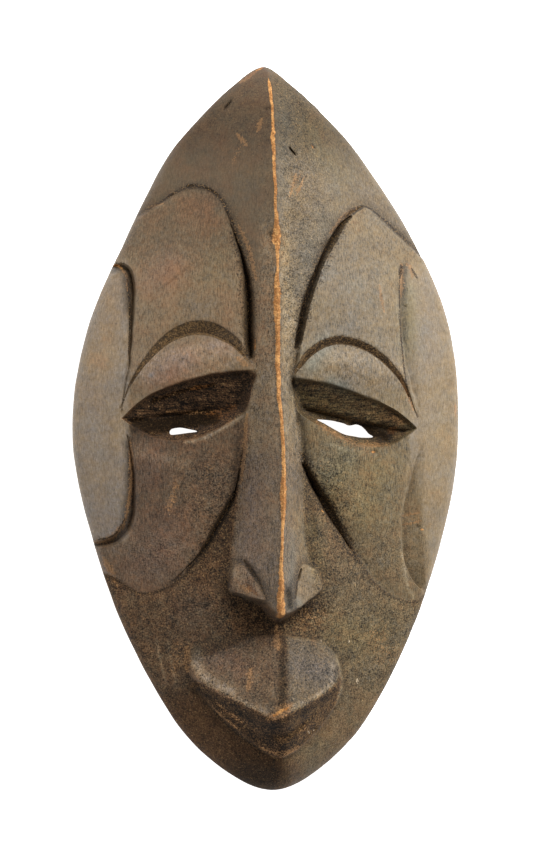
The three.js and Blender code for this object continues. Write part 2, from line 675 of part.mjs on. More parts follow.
// A closed solid: a triangulated top at height(x, y), an upright side and a flat floor.
function standingSolid(shape, points, height, floor) {
  const triangles = triangulate(points).filter((corners) => {
    const x = (points[corners[0]][0] + points[corners[1]][0] + points[corners[2]][0]) / 3;
    const y = (points[corners[0]][1] + points[corners[1]][1] + points[corners[2]][1]) / 3;
    return isInside(shape, x, y);
  });
  const loop = rimLoop(triangles);
  const vertices = points.flatMap(([x, y]) => [x, y, height(x, y)]);
  const faces = triangles.flat();
  const below = points.length;
  for (const i of loop) vertices.push(points[i][0], points[i][1], floor);
  loop.forEach((from, i) => {
    const j = (i + 1) % loop.length;
    faces.push(from, below + i, below + j, from, below + j, loop[j]);
  });
  const ring = loop.map((i) => new THREE.Vector2(...points[i]));
  for (const [a, b, c] of THREE.ShapeUtils.triangulateShape(ring, [])) {
    faces.push(below + a, below + c, below + b);
  }
  return toSolid(vertices, faces);
}

// An upright prism through the wood over a closed curve.
function prism(shape, from, to) {
  const profile = new THREE.Shape(shape.line.map(([x, y]) => new THREE.Vector2(x, y)));
  const geometry = new THREE.ExtrudeGeometry(profile, { depth: to - from, bevelEnabled: false });
  geometry.translate(0, 0, from);
  geometry.deleteAttribute('normal');
  geometry.deleteAttribute('uv');
  const merged = mergeVertices(geometry);
  return toSolid(merged.getAttribute('position').array, merged.getIndex().array);
}

// How far a raised form reaches before it runs into the ground, along one direction from a point.
function reach(x, y, stepX, stepY, raised, ground, most) {
  const stride = 0.1;
  for (let away = CLOSEST; away < most; away += stride) {
    const there = [x + stepX * away, y + stepY * away];
    if (raised(...there) <= ground(...there)) return away;
  }
  return most;
}

// The ridge of forehead and nose, with the foot of each of its planes where it stands clear of
// other carved lines.
function ridgePoints() {
  const points = [];
  const nose = { from: -38.5, clear: 42, to: 78, widest: 14 };
  const isClear = (x, y) => eyes.every(({ edge }) => depthInside(edge, x, y, ROW_GAP) <= -ROW_GAP)
    && isOffGrooves([x, y]);
  for (let y = nose.from; y < nose.to; y += LINE_STEP) {
    const x = tables.ridgeX(y);
    points.push([x, y]);
    if (y > nose.clear) continue;
    for (const side of [-1, 1]) {
      const foot = x + side * reach(x, y, side, 0, ridgePlanes, panelled, nose.widest);
      if (isClear(foot, y)) points.push([foot, y]);
    }
  }
  return points;
}

// The blunt underside of the nose: its edge, and its foot above the lip.
function noseEndPoints() {
  const points = [];
  const tip = { left: -5.5, right: 6.5, proud: 0.5, longest: 4 };
  for (let x = tip.left; x <= tip.right; x += LINE_STEP) {
    const y = tables.noseEnd(x);
    if (ridgePlanes(x, y) < panelled(x, y) + tip.proud) continue;
    points.push([x, y], [x, y - reach(x, y, 0, -1, ridgePlanes, panelled, tip.longest)]);
  }
  return points;
}

// The lids of an eye: the edge all round, the foot of the upper lid's step and two rows on the lower lid.
function eyePoints({ upper, lower, edge, ledge }) {
  const inward = upper.line[0][0] < 0 ? -1 : 1;
  const lowerRows = [1.1, 2.2];
  const row = (line, offset) => stations(line, LINE_STEP, () => [offset * inward])
    .filter(([x, y]) => depthInside(edge, x, y, 1) > 0.85 * offset);
  return [
    ...stations(edge, LINE_STEP, () => [0]),
    ...row(upper, LID_STEP_WIDTH),
    ...lowerRows.flatMap((offset) => row(lower, offset)),
    ...stations(ledge, LINE_STEP, () => [-LEDGE_START, -LEDGE_END])
      .filter(([x, y]) => depthInside(edge, x, y, 1) > LEDGE_INSET),
  ];
}

// The bottom and both edges of a groove, and the wall of the panel that it undercuts.
function groovePoints({ path, width, deepest, wall }) {
  return stations(path, LINE_STEP, (share) => {
    const half = width(share);
    if (half < CLOSEST) return [];
    const bottom = half * deepest;
    const rows = [bottom, Math.min(-half, bottom - ROW_GAP), Math.max(half, bottom + ROW_GAP)];
    return wall ? [...rows, wall * PANEL_WALL] : rows;
  });
}

function isOffGrooves([x, y]) {
  return grooves.every(({ path, width, widest }) => {
    if (!isNear(path, x, y, widest)) return true;
    const { distance, along } = nearest(path, x, y);
    return distance > widest || width(along) < CLOSEST;
  });
}

// The edge of the upper lip and the foot of its sides.
function lipPoints() {
  const longest = 9;
  return stations(upperLip, LINE_STEP, (share, x, y, leftX, leftY) => {
    if (y > LIP_TOP) return [];
    return [0, -reach(x, y, -leftX, -leftY, upperLipRoof, withoutUpperLip, longest)];
  });
}

// Every line that the facets have to follow, the sharpest first, then the open faces.
function carvedPoints() {
  const points = stations(outline, RIM_STEP, () => [0, 0.3 * RIM_ROUNDING, RIM_ROUNDING]);
  const add = (more) => {
    addPoints(points, more.filter(([x, y]) => depthInside(outline, x, y, 1) > CLOSEST), CLOSEST);
  };
  const walls = [-PANEL_WALL, PANEL_WALL];
  for (const eye of eyes) add(eyePoints(eye));
  add(ridgePoints());
  add(noseEndPoints());
  add(lipPoints());
  for (const groove of grooves) add(groovePoints(groove));
  add(stations(lowerLip, LINE_STEP, () => walls));
  for (const { edge } of panels) add(stations(edge, LINE_STEP, () => walls).filter(isOffGrooves));
  const wingRows = [-WING_FOOT, WING_TOP];
  for (const wing of wings) add(stations(wing, WING_STEP, () => wingRows).filter(isOffGrooves));
  addPoints(points, openPoints(outline, OPEN_STEP), 0.55 * OPEN_STEP);
  return points;
}

function hollowPoints() {
  const insets = [0, 0.12, 0.45, 1].map((share) => share * HOLLOW_ROUNDING);
  const points = [];
  addPoints(points, stations(hollowEdge, RIM_STEP, () => insets), CLOSEST);
  addPoints(points, openPoints(hollowEdge, HOLLOW_OPEN_STEP), 0.6 * HOLLOW_OPEN_STEP);
  return points;
}

// The block with its carved front, less the hollow and the two slits, centred on its own box.
function carvedMask() {
  const below = BACK - 1;
  const block = standingSolid(outline, carvedPoints(), front, BACK);
  const hollow = standingSolid(hollowEdge, hollowPoints(), hollowRoof, below);
  const slits = eyes.map((eye) => prism(eye.slit, below, NOSE_HEIGHT));
  const carved = slits.reduce((wood, slit) => wood.subtract(slit), block.subtract(hollow));
  const { vertProperties, triVerts } = carved.getMesh();
  const geometry = new THREE.BufferGeometry();
  geometry.setAttribute('position', new THREE.BufferAttribute(vertProperties, 3));
  geometry.setIndex(new THREE.BufferAttribute(triVerts, 1));
  geometry.computeBoundingBox();
  const centre = geometry.boundingBox.getCenter(new THREE.Vector3());
  geometry.translate(-centre.x, -centre.y, 0);
  geometry.computeVertexNormals();
  return geometry;
}

const stainedWood = new THREE.MeshStandardMaterial({ color: 0x6b5844, roughness: 0.62, metalness: 0 });
const mask = new THREE.Mesh(carvedMask(), stainedWood);
mask.name = 'mask';

const group = new THREE.Group();
group.add(mask);

export default group;
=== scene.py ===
# A miniature face mask, carved from one block of dark stained wood and rubbed bare along its edges.
#
# Lengths are millimetres in the part's own frame until a mesh is made: X runs to the viewer's right,
# Y to the pointed top and Z out of the face. Left and right are the viewer's. The carved form repeats
# the sizes of the solid, but for the feet of the nose wings and the corners of the lids, and the knife
# marks, wear, dirt and some painted highlight and shade are worked out on top of it.

import itertools
import math

import bpy
import numpy as np
from mathutils import Matrix, Vector
from mathutils.geometry import delaunay_2d_cdt


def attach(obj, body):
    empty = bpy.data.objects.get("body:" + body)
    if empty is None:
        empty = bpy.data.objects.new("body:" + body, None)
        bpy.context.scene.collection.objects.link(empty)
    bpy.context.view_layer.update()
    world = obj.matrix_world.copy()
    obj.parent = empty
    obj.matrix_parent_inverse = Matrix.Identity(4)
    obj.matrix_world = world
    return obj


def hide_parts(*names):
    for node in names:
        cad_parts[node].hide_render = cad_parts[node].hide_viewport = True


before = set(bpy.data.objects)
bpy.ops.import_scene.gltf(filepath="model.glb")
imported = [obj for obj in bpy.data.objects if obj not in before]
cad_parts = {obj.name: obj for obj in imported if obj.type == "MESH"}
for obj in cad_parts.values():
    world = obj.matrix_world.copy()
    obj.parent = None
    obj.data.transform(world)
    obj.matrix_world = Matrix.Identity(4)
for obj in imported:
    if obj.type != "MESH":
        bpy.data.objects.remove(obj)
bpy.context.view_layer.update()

MM = 0.001

# The carved form, as the solid has it
HALF_HEIGHT = 80.0
HALF_WIDTH = 43.0
RIM_HEIGHT = 5.0
RIM_ROUNDING = 1.8
RIM_WIDTH = 5.0
WALL = 6.5
NOSE_HEIGHT = 27.8
LIP_HEIGHT = 25.0
HOLLOW_DEPTH = 13.0
HOLLOW_ROUNDING = 9.0
HOLLOW_STEP = 0.8
HOLLOW_BLEND = 1.5
END_WIDENING = 1.1
END_START = 50.0
NARROWEST = 0.6

# The edge of the mask, from the pointed top down the left side and up the right.
OUTLINE = [
    (-0.7, 80.0), (-7.8, 75.4), (-15.1, 68.2), (-22.4, 59.2), (-31.2, 41.5), (-38.9, 23.8),
    (-42.8, 3.5), (-40.7, -15.7), (-32.3, -42.1), (-20.4, -64.3), (-9.6, -75.3),
    (1.1, -80.0), (11.2, -75.9), (22.2, -64.8), (33.6, -42.7), (41.6, -16.0),
    (43.2, 5.0), (40.7, 24.2), (33.0, 42.0), (21.3, 59.7), (12.9, 68.5), (5.3, 75.4),
]

# Lengthwise tables of (Y, value)
CROWN = [
    (-80, RIM_HEIGHT + 0.5), (-77, 10.0), (-72, 13.8), (-60, 15.2), (-45, 16.0), (-30, 16.5),
    (-15, 17.0), (0, 17.8), (15, 19.0), (30, 19.4), (45, 18.9), (60, 17.0), (70, 14.0), (76, 10.0),
    (80, RIM_HEIGHT + 0.5),
]
FULLNESS = [
    (-80, 1.15), (-60, 1.45), (-30, 1.6), (10, 1.6), (30, 1.45), (50, 1.2), (70, 1.1), (80, 1.1),
]
RIDGE_X = [
    (-80, 1.2), (-72, 2.0), (-60, 2.4), (-48, 2.4), (-44, 1.6), (-38, 0.25), (-28, 0.35), (-15, 1.0),
    (-4, 1.1), (10, 0.3), (35, 0.3), (60, -0.1), (76, -0.3), (80, -0.5),
]
RIDGE_Z = [
    (-48, 17.0), (-44, 25.5), (-38, NOSE_HEIGHT - 0.4), (-30, NOSE_HEIGHT), (-20, 27.0), (-10, 25.8),
    (0, 24.2), (10, 22.4), (20, 21.3), (30, 20.8), (45, 19.9), (60, 18.2), (70, 15.4), (76, 10.9),
    (80, RIM_HEIGHT + 0.5),
]
FALL_LEFT = [
    (-40, 1.3), (-30, 1.4), (-15, 1.5), (0, 1.15), (10, 1.0), (20, 0.85), (30, 0.72), (45, 0.68),
    (60, 0.62), (76, 0.5),
]
FALL_RIGHT = [
    (-40, 1.35), (-30, 1.6), (-15, 2.0), (-4, 1.9), (4, 1.7), (12, 1.3), (20, 0.85), (30, 0.7),
    (45, 0.68), (60, 0.62), (76, 0.5),
]
RIDGE_BLEND = [
    (-45, 0.25), (-20, 0.35), (5, 0.35), (14, 0.5), (28, 0.8), (45, 1.8), (60, 2.2), (80, 1.0),
]
RIDGE_WORN = 0.3
NOSE_END = [
    (-10.0, -35.0), (-5.5, -36.2), (-2.6, -36.8), (-0.9, -38.6), (0.5, -39.8), (1.8, -39.5),
    (4.7, -38.6), (7.5, -37.1), (10.2, -35.4),
]
NOSE_FALL = 4.2

PANELS = [
    {
        "edge": [
            (-32.5, 43.0), (-24.7, 48.6), (-16.7, 52.3), (-11.2, 49.4), (-8.4, 42.5), (-6.5, 34.0),
            (-5.8, 25.0), (-5.7, 17.6), (-4.6, 13.0), (-4.8, 9.0), (-5.4, 2.6), (-6.6, -7.3),
            (-11.5, -19.9), (-18.5, -31.0), (-26.7, -35.7), (-33.5, -32.6), (-40.0, -27.0),
            (-46.0, 0.0), (-42.0, 30.0),
        ],
        "relief": [
            (-37, 0.3), (-34, 0.8), (-28, 2.0), (-18, 2.8), (-11, 2.2), (-5, 1.2), (4, 0.9), (14, 1.1),
            (24, 1.0), (34, 1.0), (44, 0.8), (50, 0.45), (54, 0.3),
        ],
    },
    {
        "edge": [
            (40.0, 32.0), (33.8, 38.6), (27.9, 43.6), (24.6, 46.4), (20.8, 48.4), (15.9, 45.2),
            (11.1, 37.4), (7.9, 28.2), (5.8, 20.4), (4.9, 13.6), (4.2, 10.6), (5.2, 4.6),
            (6.8, -7.6), (12.4, -16.3), (18.3, -26.2), (23.5, -33.8), (29.5, -37.4),
            (36.0, -36.0), (44.0, -20.0), (47.0, 0.0),
        ],
        "relief": [
            (-38, 0.2), (-34, 0.25), (-29, 0.6), (-22, 1.8), (-14, 2.3), (-8, 1.4), (-2, 0.7), (8, 0.7),
            (16, 1.1), (24, 1.0), (34, 1.2), (42, 1.0), (47, 0.5), (52, 0.3),
        ],
    },
]
PANEL_REACH = 8.0
PANEL_WALL = 0.35
PANEL_SCOOP = 1.3
CHEEK_ROUNDING = [(-40, 0.1), (-32, 0.5), (-15, 1.5), (-2, 0.7), (5, 0.0)]
CHEEK_ROUNDING_REACH = 2.6

WINGS = [
    [
        (-7.6, -29.3), (-9.0, -30.4), (-9.3, -33.2), (-8.9, -35.3), (-5.5, -36.3), (-2.6, -36.7),
        (-4.6, -32.4),
    ],
    [
        (5.9, -29.5), (9.3, -30.8), (10.3, -33.4), (10.2, -35.2), (7.6, -37.1), (4.9, -38.5),
        (4.3, -34.4),
    ],
]
WING_HEIGHT = 20.6
WING_REACH = 5.0
WING_FALL = 0.45
WING_FOOT = 0.6
WING_TOP = 0.35

LIDS = [
    {"x": -18.0, "y": 14.5, "tilt": 0.19, "length": 13.0, "width": 3.9, "swell": 0.9},
    {"x": 18.5, "y": 13.0, "tilt": -0.13, "length": 13.0, "width": 3.9, "swell": 0.9},
]

# V-cuts, with a table of (share of the way along, half width). Where across a cut its bottom lies
# runs from -1 on the right of travel to +1 on the left.
GROOVES = {
    "left_nostril": {
        "line": [(-6.5, -28.4), (-4.2, -32.2), (-2.3, -36.6)],
        "half_width": [(0, 0.4), (0.4, 1.0), (0.8, 0.6), (1, 0.3)], "depth": 1.5, "deepest": 0.3,
    },
    "right_nostril": {
        "line": [(5.6, -30.2), (4.7, -33.2), (4.0, -36.6)],
        "half_width": [(0, 0.25), (0.5, 0.45), (1, 0.3)], "depth": 0.9, "deepest": -0.3,
    },
    "left_forehead": {
        "line": [
            (-10.2, 47.0), (-8.3, 41.4), (-6.9, 37.0), (-6.0, 32.1), (-5.7, 26.0), (-5.8, 20.6),
            (-5.5, 15.9),
        ],
        "half_width": [(0, 0.15), (0.25, 0.4), (0.42, 0.9), (0.58, 1.4), (0.92, 1.45), (1, 1.1)],
        "depth": 2.6, "deepest": 0.35,
    },
    "right_forehead": {
        "line": [
            (17.6, 46.4), (15.2, 44.0), (12.0, 38.8), (9.0, 32.8), (6.8, 26.8), (5.6, 21.5),
            (4.9, 17.6),
        ],
        "half_width": [(0, 0.3), (0.2, 0.9), (0.4, 0.75), (0.65, 0.95), (0.95, 0.85), (1, 0.6)],
        "depth": 2.2, "deepest": -0.35,
    },
    "left_cheek": {
        "line": [
            (-6.9, -6.0), (-7.9, -12.3), (-9.4, -16.5), (-12.3, -21.8), (-15.2, -26.7), (-21.3, -33.2),
        ],
        "half_width": [
            (0, 0.15), (0.2, 0.35), (0.34, 0.9), (0.55, 1.0), (0.7, 0.7), (0.8, 0.3), (1, 0.15),
        ],
        "depth": 1.7, "deepest": 0.35,
    },
    "right_cheek": {
        "line": [(6.6, -7.6), (8.4, -10.9), (10.4, -14.6), (13.2, -19.6), (18.4, -27.6)],
        "half_width": [(0, 0.5), (0.25, 1.0), (0.55, 0.95), (0.8, 0.5), (1, 0.15)],
        "depth": 1.6, "deepest": -0.35,
    },
    "left_brow": {
        "line": [
            (-32.6, 4.6), (-30.6, 9.9), (-27.6, 14.6), (-23.6, 18.9), (-20.2, 20.9), (-16.9, 21.9),
            (-13.5, 21.6), (-10.6, 20.1), (-8.2, 18.3), (-5.1, 14.4),
        ],
        "half_width": [
            (0, 0.15), (0.15, 0.4), (0.29, 0.7), (0.44, 1.1), (0.54, 1.45), (0.66, 1.7), (0.8, 1.4),
            (0.88, 1.1), (1, 0.35),
        ],
        "depth": 1.5, "deepest": -0.6,
    },
    "right_brow": {
        "line": [
            (4.6, 12.3), (7.2, 15.9), (11.2, 18.6), (15.8, 19.1), (21.0, 17.6), (26.0, 14.1),
            (29.8, 9.4), (32.8, 2.2),
        ],
        "half_width": [(0, 0.4), (0.12, 0.9), (0.3, 0.95), (0.6, 0.9), (0.85, 0.45), (1, 0.12)],
        "depth": 1.2, "deepest": -0.6,
    },
    "left_temple": {
        "line": [
            (-35.2, 33.8), (-33.3, 35.1), (-31.5, 34.8), (-30.6, 32.4), (-30.4, 27.7), (-30.5, 21.2),
            (-31.0, 15.0), (-32.0, 8.8), (-32.6, 3.6),
        ],
        "half_width": [
            (0, 0.9), (0.1, 1.15), (0.22, 1.35), (0.36, 1.05), (0.55, 0.6), (0.75, 0.3), (1, 0.15),
        ],
        "depth": 2.4, "deepest": 0.6,
    },
    "left_jaw": {
        "line": [
            (-31.3, -1.5), (-30.4, -7.0), (-30.1, -14.0), (-31.0, -20.5), (-33.6, -24.3),
            (-38.2, -25.4),
        ],
        "half_width": [(0, 0.15), (0.2, 0.5), (0.4, 0.85), (0.65, 1.1), (0.8, 1.2), (1, 0.7)],
        "depth": 1.8, "deepest": 0.4,
    },
    "right_temple": {
        "line": [(30.9, 36.8), (30.4, 33.8), (30.4, 28.0), (30.8, 20.0), (31.8, 12.0), (33.0, 5.0)],
        "half_width": [
            (0, 0.5), (0.12, 1.1), (0.4, 1.6), (0.7, 1.4), (1, 0.4),
        ],
        "depth": 0.9, "deepest": -0.75,
    },
    "right_jaw": {
        "line": [(33.9, -4.0), (32.9, -11.0), (31.8, -19.0), (32.0, -27.0), (33.6, -33.0), (35.6, -36.0)],
        "half_width": [
            (0, 0.5), (0.25, 1.6), (0.5, 2.6), (0.75, 2.3), (1, 0.7),
        ],
        "depth": 1.6, "deepest": -0.8,
    },
}
GROOVE_TAPER = 0.8
GROOVE_WALLS = 0.9

EYES = [
    {
        "upper": [(-32.7, 2.0), (-27.6, 6.9), (-18.9, 10.5), (-9.9, 12.4), (-3.4, 12.8)],
        "lower": [
            (-3.4, 12.8), (-4.6, 8.9), (-6.3, 3.6), (-12.2, -0.1), (-18.6, -2.7), (-25.8, -2.0),
            (-32.7, 2.0),
        ],
        "ledge": [(-33.0, 1.6), (-27.0, 2.6), (-20.5, 3.5), (-12.1, 4.4), (-4.0, 4.6)],
        "slit": [
            (-21.8, -1.4), (-21.5, -0.3), (-19.6, 0.0), (-17.6, -0.3), (-15.9, -0.7), (-18.2, -1.1),
            (-20.2, -1.4),
        ],
    },
    {
        "upper": [(32.9, -0.1), (27.7, 4.1), (20.0, 7.3), (11.9, 9.9), (3.0, 11.3)],
        "lower": [
            (3.0, 11.3), (4.2, 7.3), (5.8, 3.0), (12.0, -0.6), (18.2, -3.5), (25.6, -3.9), (32.9, -0.1),
        ],
        "ledge": [(4.0, 5.4), (12.0, 3.6), (20.0, 1.8), (27.0, 0.4), (33.5, -0.5)],
        "slit": [
            (9.9, 1.9), (11.5, 1.9), (13.8, 1.6), (16.3, 1.1), (17.6, 0.6), (19.3, 0.8), (20.7, 0.4),
            (21.7, -0.4), (22.5, -1.3), (23.5, -2.0), (20.9, -2.1), (18.9, -1.8), (16.3, -1.3),
            (13.6, -0.1), (11.5, 1.1),
        ],
    },
]
SOCKET_FLOOR = 8.2
SOCKET_WEB = 1.0
SOCKET_BLEND = 0.5
LID_STEP = 0.7
LID_STEP_WIDTH = 0.7
LID_CORNER = 3.0
SOCKET_FALL = 0.56
LEDGE_DROP = 2.4
LEDGE_START = -0.2
LEDGE_END = 1.4
LOWER_LID_FALL = 2.6

UPPER_LIP = [
    (-12.5, -46.2), (-15.8, -47.5), (-17.4, -50.2), (-17.0, -53.2), (-14.9, -55.5), (-11.6, -57.3),
    (-6.3, -59.8), (-2.2, -61.9), (-0.4, -62.3), (2.4, -61.2), (6.3, -59.6), (11.0, -57.2), (14.0, -54.7),
    (14.3, -51.4), (12.6, -48.0), (8.0, -46.0), (0.0, -45.0),
]
LOWER_LIP = [
    (-15.8, -55.4), (-14.9, -58.0), (-11.1, -62.4), (-7.4, -65.9), (-3.8, -68.7), (-1.0, -70.6),
    (1.2, -71.5), (3.4, -71.1), (5.8, -69.8), (8.7, -67.4), (11.8, -64.0), (14.4, -60.2),
    (15.6, -56.5), (13.6, -53.6), (2.0, -54.0),
]
UPPER_LIP_Z = [(-63, LIP_HEIGHT), (-54, 22.2), (-47, 18.8), (-43, 17.0)]
LIP_FALL = 0.42
LIP_CURVE = 0.006
LIP_SIDE_FALL = 4.5
MOUTH_FALL = 1.35
MOUTH_FALL_GROWTH = 0.03
LOWER_LIP_STEP = 1.3
LOWER_LIP_RISE = 0.85
LOWER_LIP_MOST = 2.7
LIP_REACH = 7.5
FAR_BELOW = -100.0
LIP_BLEND = 0.35

# Fine carving: how far the knife strayed, how uneven it left the faces, and what wear took off.
WANDER = 0.14
WANDER_LENGTH = 7.0
WANDER_SEEDS = (11, 13)
# The waves of the wander: amount, how many times finer, and how much later their seed
WANDER_WAVES = [(1.0, 1, 0), (0.35, 3, 1), (0.4, 5, 4)]
# Rows of waves: amount, length, seed and stretch along Y
UNEVEN = 0.16
UNEVEN_WAVES = [(1.0, 11.0, 21, 1.8), (0.45, 4.4, 22, 1.6)]
UNEVEN_FADE = 4.0
ROUGH_HEIGHT = 0.05
ROUGH_WAVES = [(1.0, 0.9, 23, 1.0), (0.6, 0.55 * 0.9, 24, 1.0)]
ROUGH_LEAST = 0.25
ROUGH_MORE = 1.1
SOCKET_STREAK = 0.16
SOCKET_STREAK_WAVES = [(1.0, 5.0, 25, 0.13)]
RIDGE_CHIP = 0.1
RIDGE_CHIP_WIDTH = 0.8
RIDGE_CHIP_WAVES = [(1.0, 1.1, 26, 1.0), (1.0, 3.1, 27, 1.0)]
RIM_CHIP = 0.35
RIM_CHIP_WIDTH = 1.2
RIM_CHIP_WAVES = [(1.0, 3.0, 28, 1.0)]
THINNEST_WEB = 0.6
# The tip of the nose stays this far below the solid's.
TIP_MARGIN = 0.05
TIP_BLEND = 0.15
GOUGE_WIDTH = 5.0
GOUGE_LENGTH = 17.0
GOUGE_DEPTH = 0.35
GOUGE_FADE = 3.0
GOUGE_ROUND = 0.65
GOUGE_COLUMNS = 64
GOUGE_SEED = 32
GOUGE_SWAY = [(0.25, 14, 31, 1.0)]
GOUGE_SHIFT = [(0.12, 6, 33, 1.0)]
EDGE_CUT = 0.04
SCRAPE = 0.1
SCRAPE_WAVES = [(1.0, 2.5, 51, 3.0)]
# All waves repeat after this many bumps, and are read far from the corner of their grid.
LATTICE = 128
LATTICE_START = 512.0

# Spacing of the mesh. Rows are distances from the line that they follow.
LINE_STEP = 0.42
OPEN_STEP = 0.53
HOLLOW_SPACING = 0.75
RIM_STEP = 0.5
SLIT_STEP = 0.3
CLOSEST = 0.16
CELL = 0.6
SHAKE = 0.12
FRONT_SEED = 41
HOLLOW_SEED = 42
# How near a point of the open ground may come to another, as a share of the spacing
FILL_GAP = 0.55
HOLLOW_CLOSEST = 0.25
HOLLOW_CELL = 1.0
RIDGE_SPAN = (-46, 79)
RIDGE_ROWS = (0, -0.3, 0.3, -0.65, 0.65, -1.1, 1.1)
NOSE_END_SPAN = (-6, 7)
NOSE_END_ROWS = (0, 0.35, 0.8, -0.35)
LID_ROWS = (LID_STEP_WIDTH, 0.7)
LOWER_LID_ROWS = (0.5, 1.0, 1.5)
LEDGE_ROWS = (-LEDGE_START, -0.2, -0.6, -1.0, -LEDGE_END)
SOCKET_ROWS = (0, -0.3, 0.3)
LIP_ROWS = (0.3, 0, -0.3)
RIM_ROWS = (0.32, 0.6, 1.0, 1.4, RIM_ROUNDING)
SEAM_ROWS = (0.7, 1.05)
HOLLOW_EDGE_STEP = 0.6
HOLLOW_EDGE_ROWS = (0.2, 0.7, 1.4)
# Loops down the side: share of the edge's height and distance further in
SIDE_LOOPS = [(0.66, 0.02), (0.33, 0.03), (0.1, 0.05), (0.0, 0.35)]
# Loops over the flat back rim: share of the way from the side to the hollow
RIM_LOOPS = (0.15, 0.35, 0.6, 0.85, 1.0)
# Twice the area, in square millimetres, below which a triangle between three rim points is dropped
FLAT_AREA = 0.0002

# The worn edge stands this far inside the drawn outline, with waves of (amount, count, start).
RIM_INSET = 0.1
RIM_SWAY = 0.03
RIM_SWAY_WAVES = [(1.0, 13, 1), (0.7, 29, 2), (0.5, 53, 0)]

# Half width of the bare wood along the ridge of forehead and nose, by height Y, and its sway.
RIDGE_BARE = [
    (-41, 0.9), (-38, 0.95), (-34, 0.7), (-30, 0.5), (-26, 0.35), (-22, 0.35), (-18, 0.55), (-14, 0.75),
    (-10, 0.5), (-4, 0.42), (2, 0.4), (8, 0.5), (14, 0.6), (20, 0.55), (26, 0.8), (31, 0.65),
    (35, 0.3), (38, 0.42), (41, 0.95), (44, 0.6), (48, 0.32), (54, 0.36), (60, 0.4), (63, 0.5),
    (66, 0.32), (70, 0.3), (72, 0.34), (75, 0.42), (76.5, 0.12), (78, 0.0),
]

# Small cuts and dents: middle, length, width, direction in degrees and depth.
NICKS = [
    (-9.3, 70.6, 2.6, 0.22, 50, 0.8),
    (4.2, 60.2, 2.2, 0.15, -48, 0.9),
    (4.7, 59.6, 0.7, 0.3, -30, 0.6),
    (9.4, 61.4, 0.5, 0.25, 60, 0.4),
    (-1.2, 69.4, 1.4, 0.35, 15, 0.35),
    (-1.0, 41.6, 1.6, 0.7, 80, 0.5),
    (24.3, 29.0, 1.0, 0.2, 80, 0.3),
    (30.1, 26.9, 0.5, 0.3, 90, 0.35),
    (-31.4, 46.2, 1.6, 0.3, 20, 0.35),
    (22.6, -5.2, 0.9, 0.35, 10, 0.45),
    (11.3, -17.7, 0.6, 0.3, 70, 0.45),
    (33.2, -21.8, 0.7, 0.35, 20, 0.35),
    (12.3, -46.3, 0.45, 0.3, 0, 0.4),
    (18.2, -46.3, 0.7, 0.3, 60, 0.4),
    (14.0, -61.5, 0.6, 0.35, 0, 0.4),
    (9.4, -65.4, 0.6, 0.3, 30, 0.4),
    (-17.5, -21.5, 3.2, 0.3, 78, 0.18),
    (-19.5, -12.0, 4.0, 0.25, 70, 0.15),
    (-20.0, 33.5, 14.0, 0.22, 38, 0.14),
]

# Rows of short parallel cuts: middles of the first and the last cut, number, length, width,
# direction in degrees and depth. Each cut is off by up to this shift and turn, and no two are alike.
STROKES = [
    ((5.8, -40.2), (12.2, -39.4), 10, 2.8, 0.17, 87, 0.24),
    ((-24.2, -50.5), (-18.9, -53.0), 5, 6.5, 0.2, 86, 0.1),
    ((-14.0, -58.0), (-9.6, -61.6), 5, 1.6, 0.15, 60, 0.15),
    ((8.0, -9.0), (10.6, -4.0), 5, 2.6, 0.2, 75, 0.15),
]
STROKE_SEED = 34
STROKE_SHIFT = 0.25
STROKE_TURN = 6
STROKE_LENGTHS = (0.6, 1.1)
STROKE_DEPTHS = (0.6, 1)
DEEP_NICK = 0.5

# How rough the knife left the nose, the lips, the sockets, the ground beside the ridge and the seams
ROUGH_NOSE = 0.35
ROUGH_LIPS = 0.75
ROUGH_SOCKET = 0.9
ROUGH_FOREHEAD = 0.85
ROUGH_SEAM = 0.6
# From where to where such ground turns rough, along Y and, beside the ridge, along X
ROUGH_GROUND_Y = (2, -10)
ROUGH_FOREHEAD_Y = (12, 22)
ROUGH_FOREHEAD_X = (19, 6)
ROUGH_SEAM_Y = (52, 40)

# Spots left rough inside the smooth parts: X, Y, half length, half width, direction and strength.
ROUGH_SPOTS = [
    (-13, -14, 9, 8, 60, 0.8),
    (13, -14, 9, 7, -60, 0.9),
    (-24, -27, 7, 5, 20, 0.7),
    (26, -28, 8, 6, -20, 0.7),
    (8, 52, 14, 5, 80, 0.5),
]

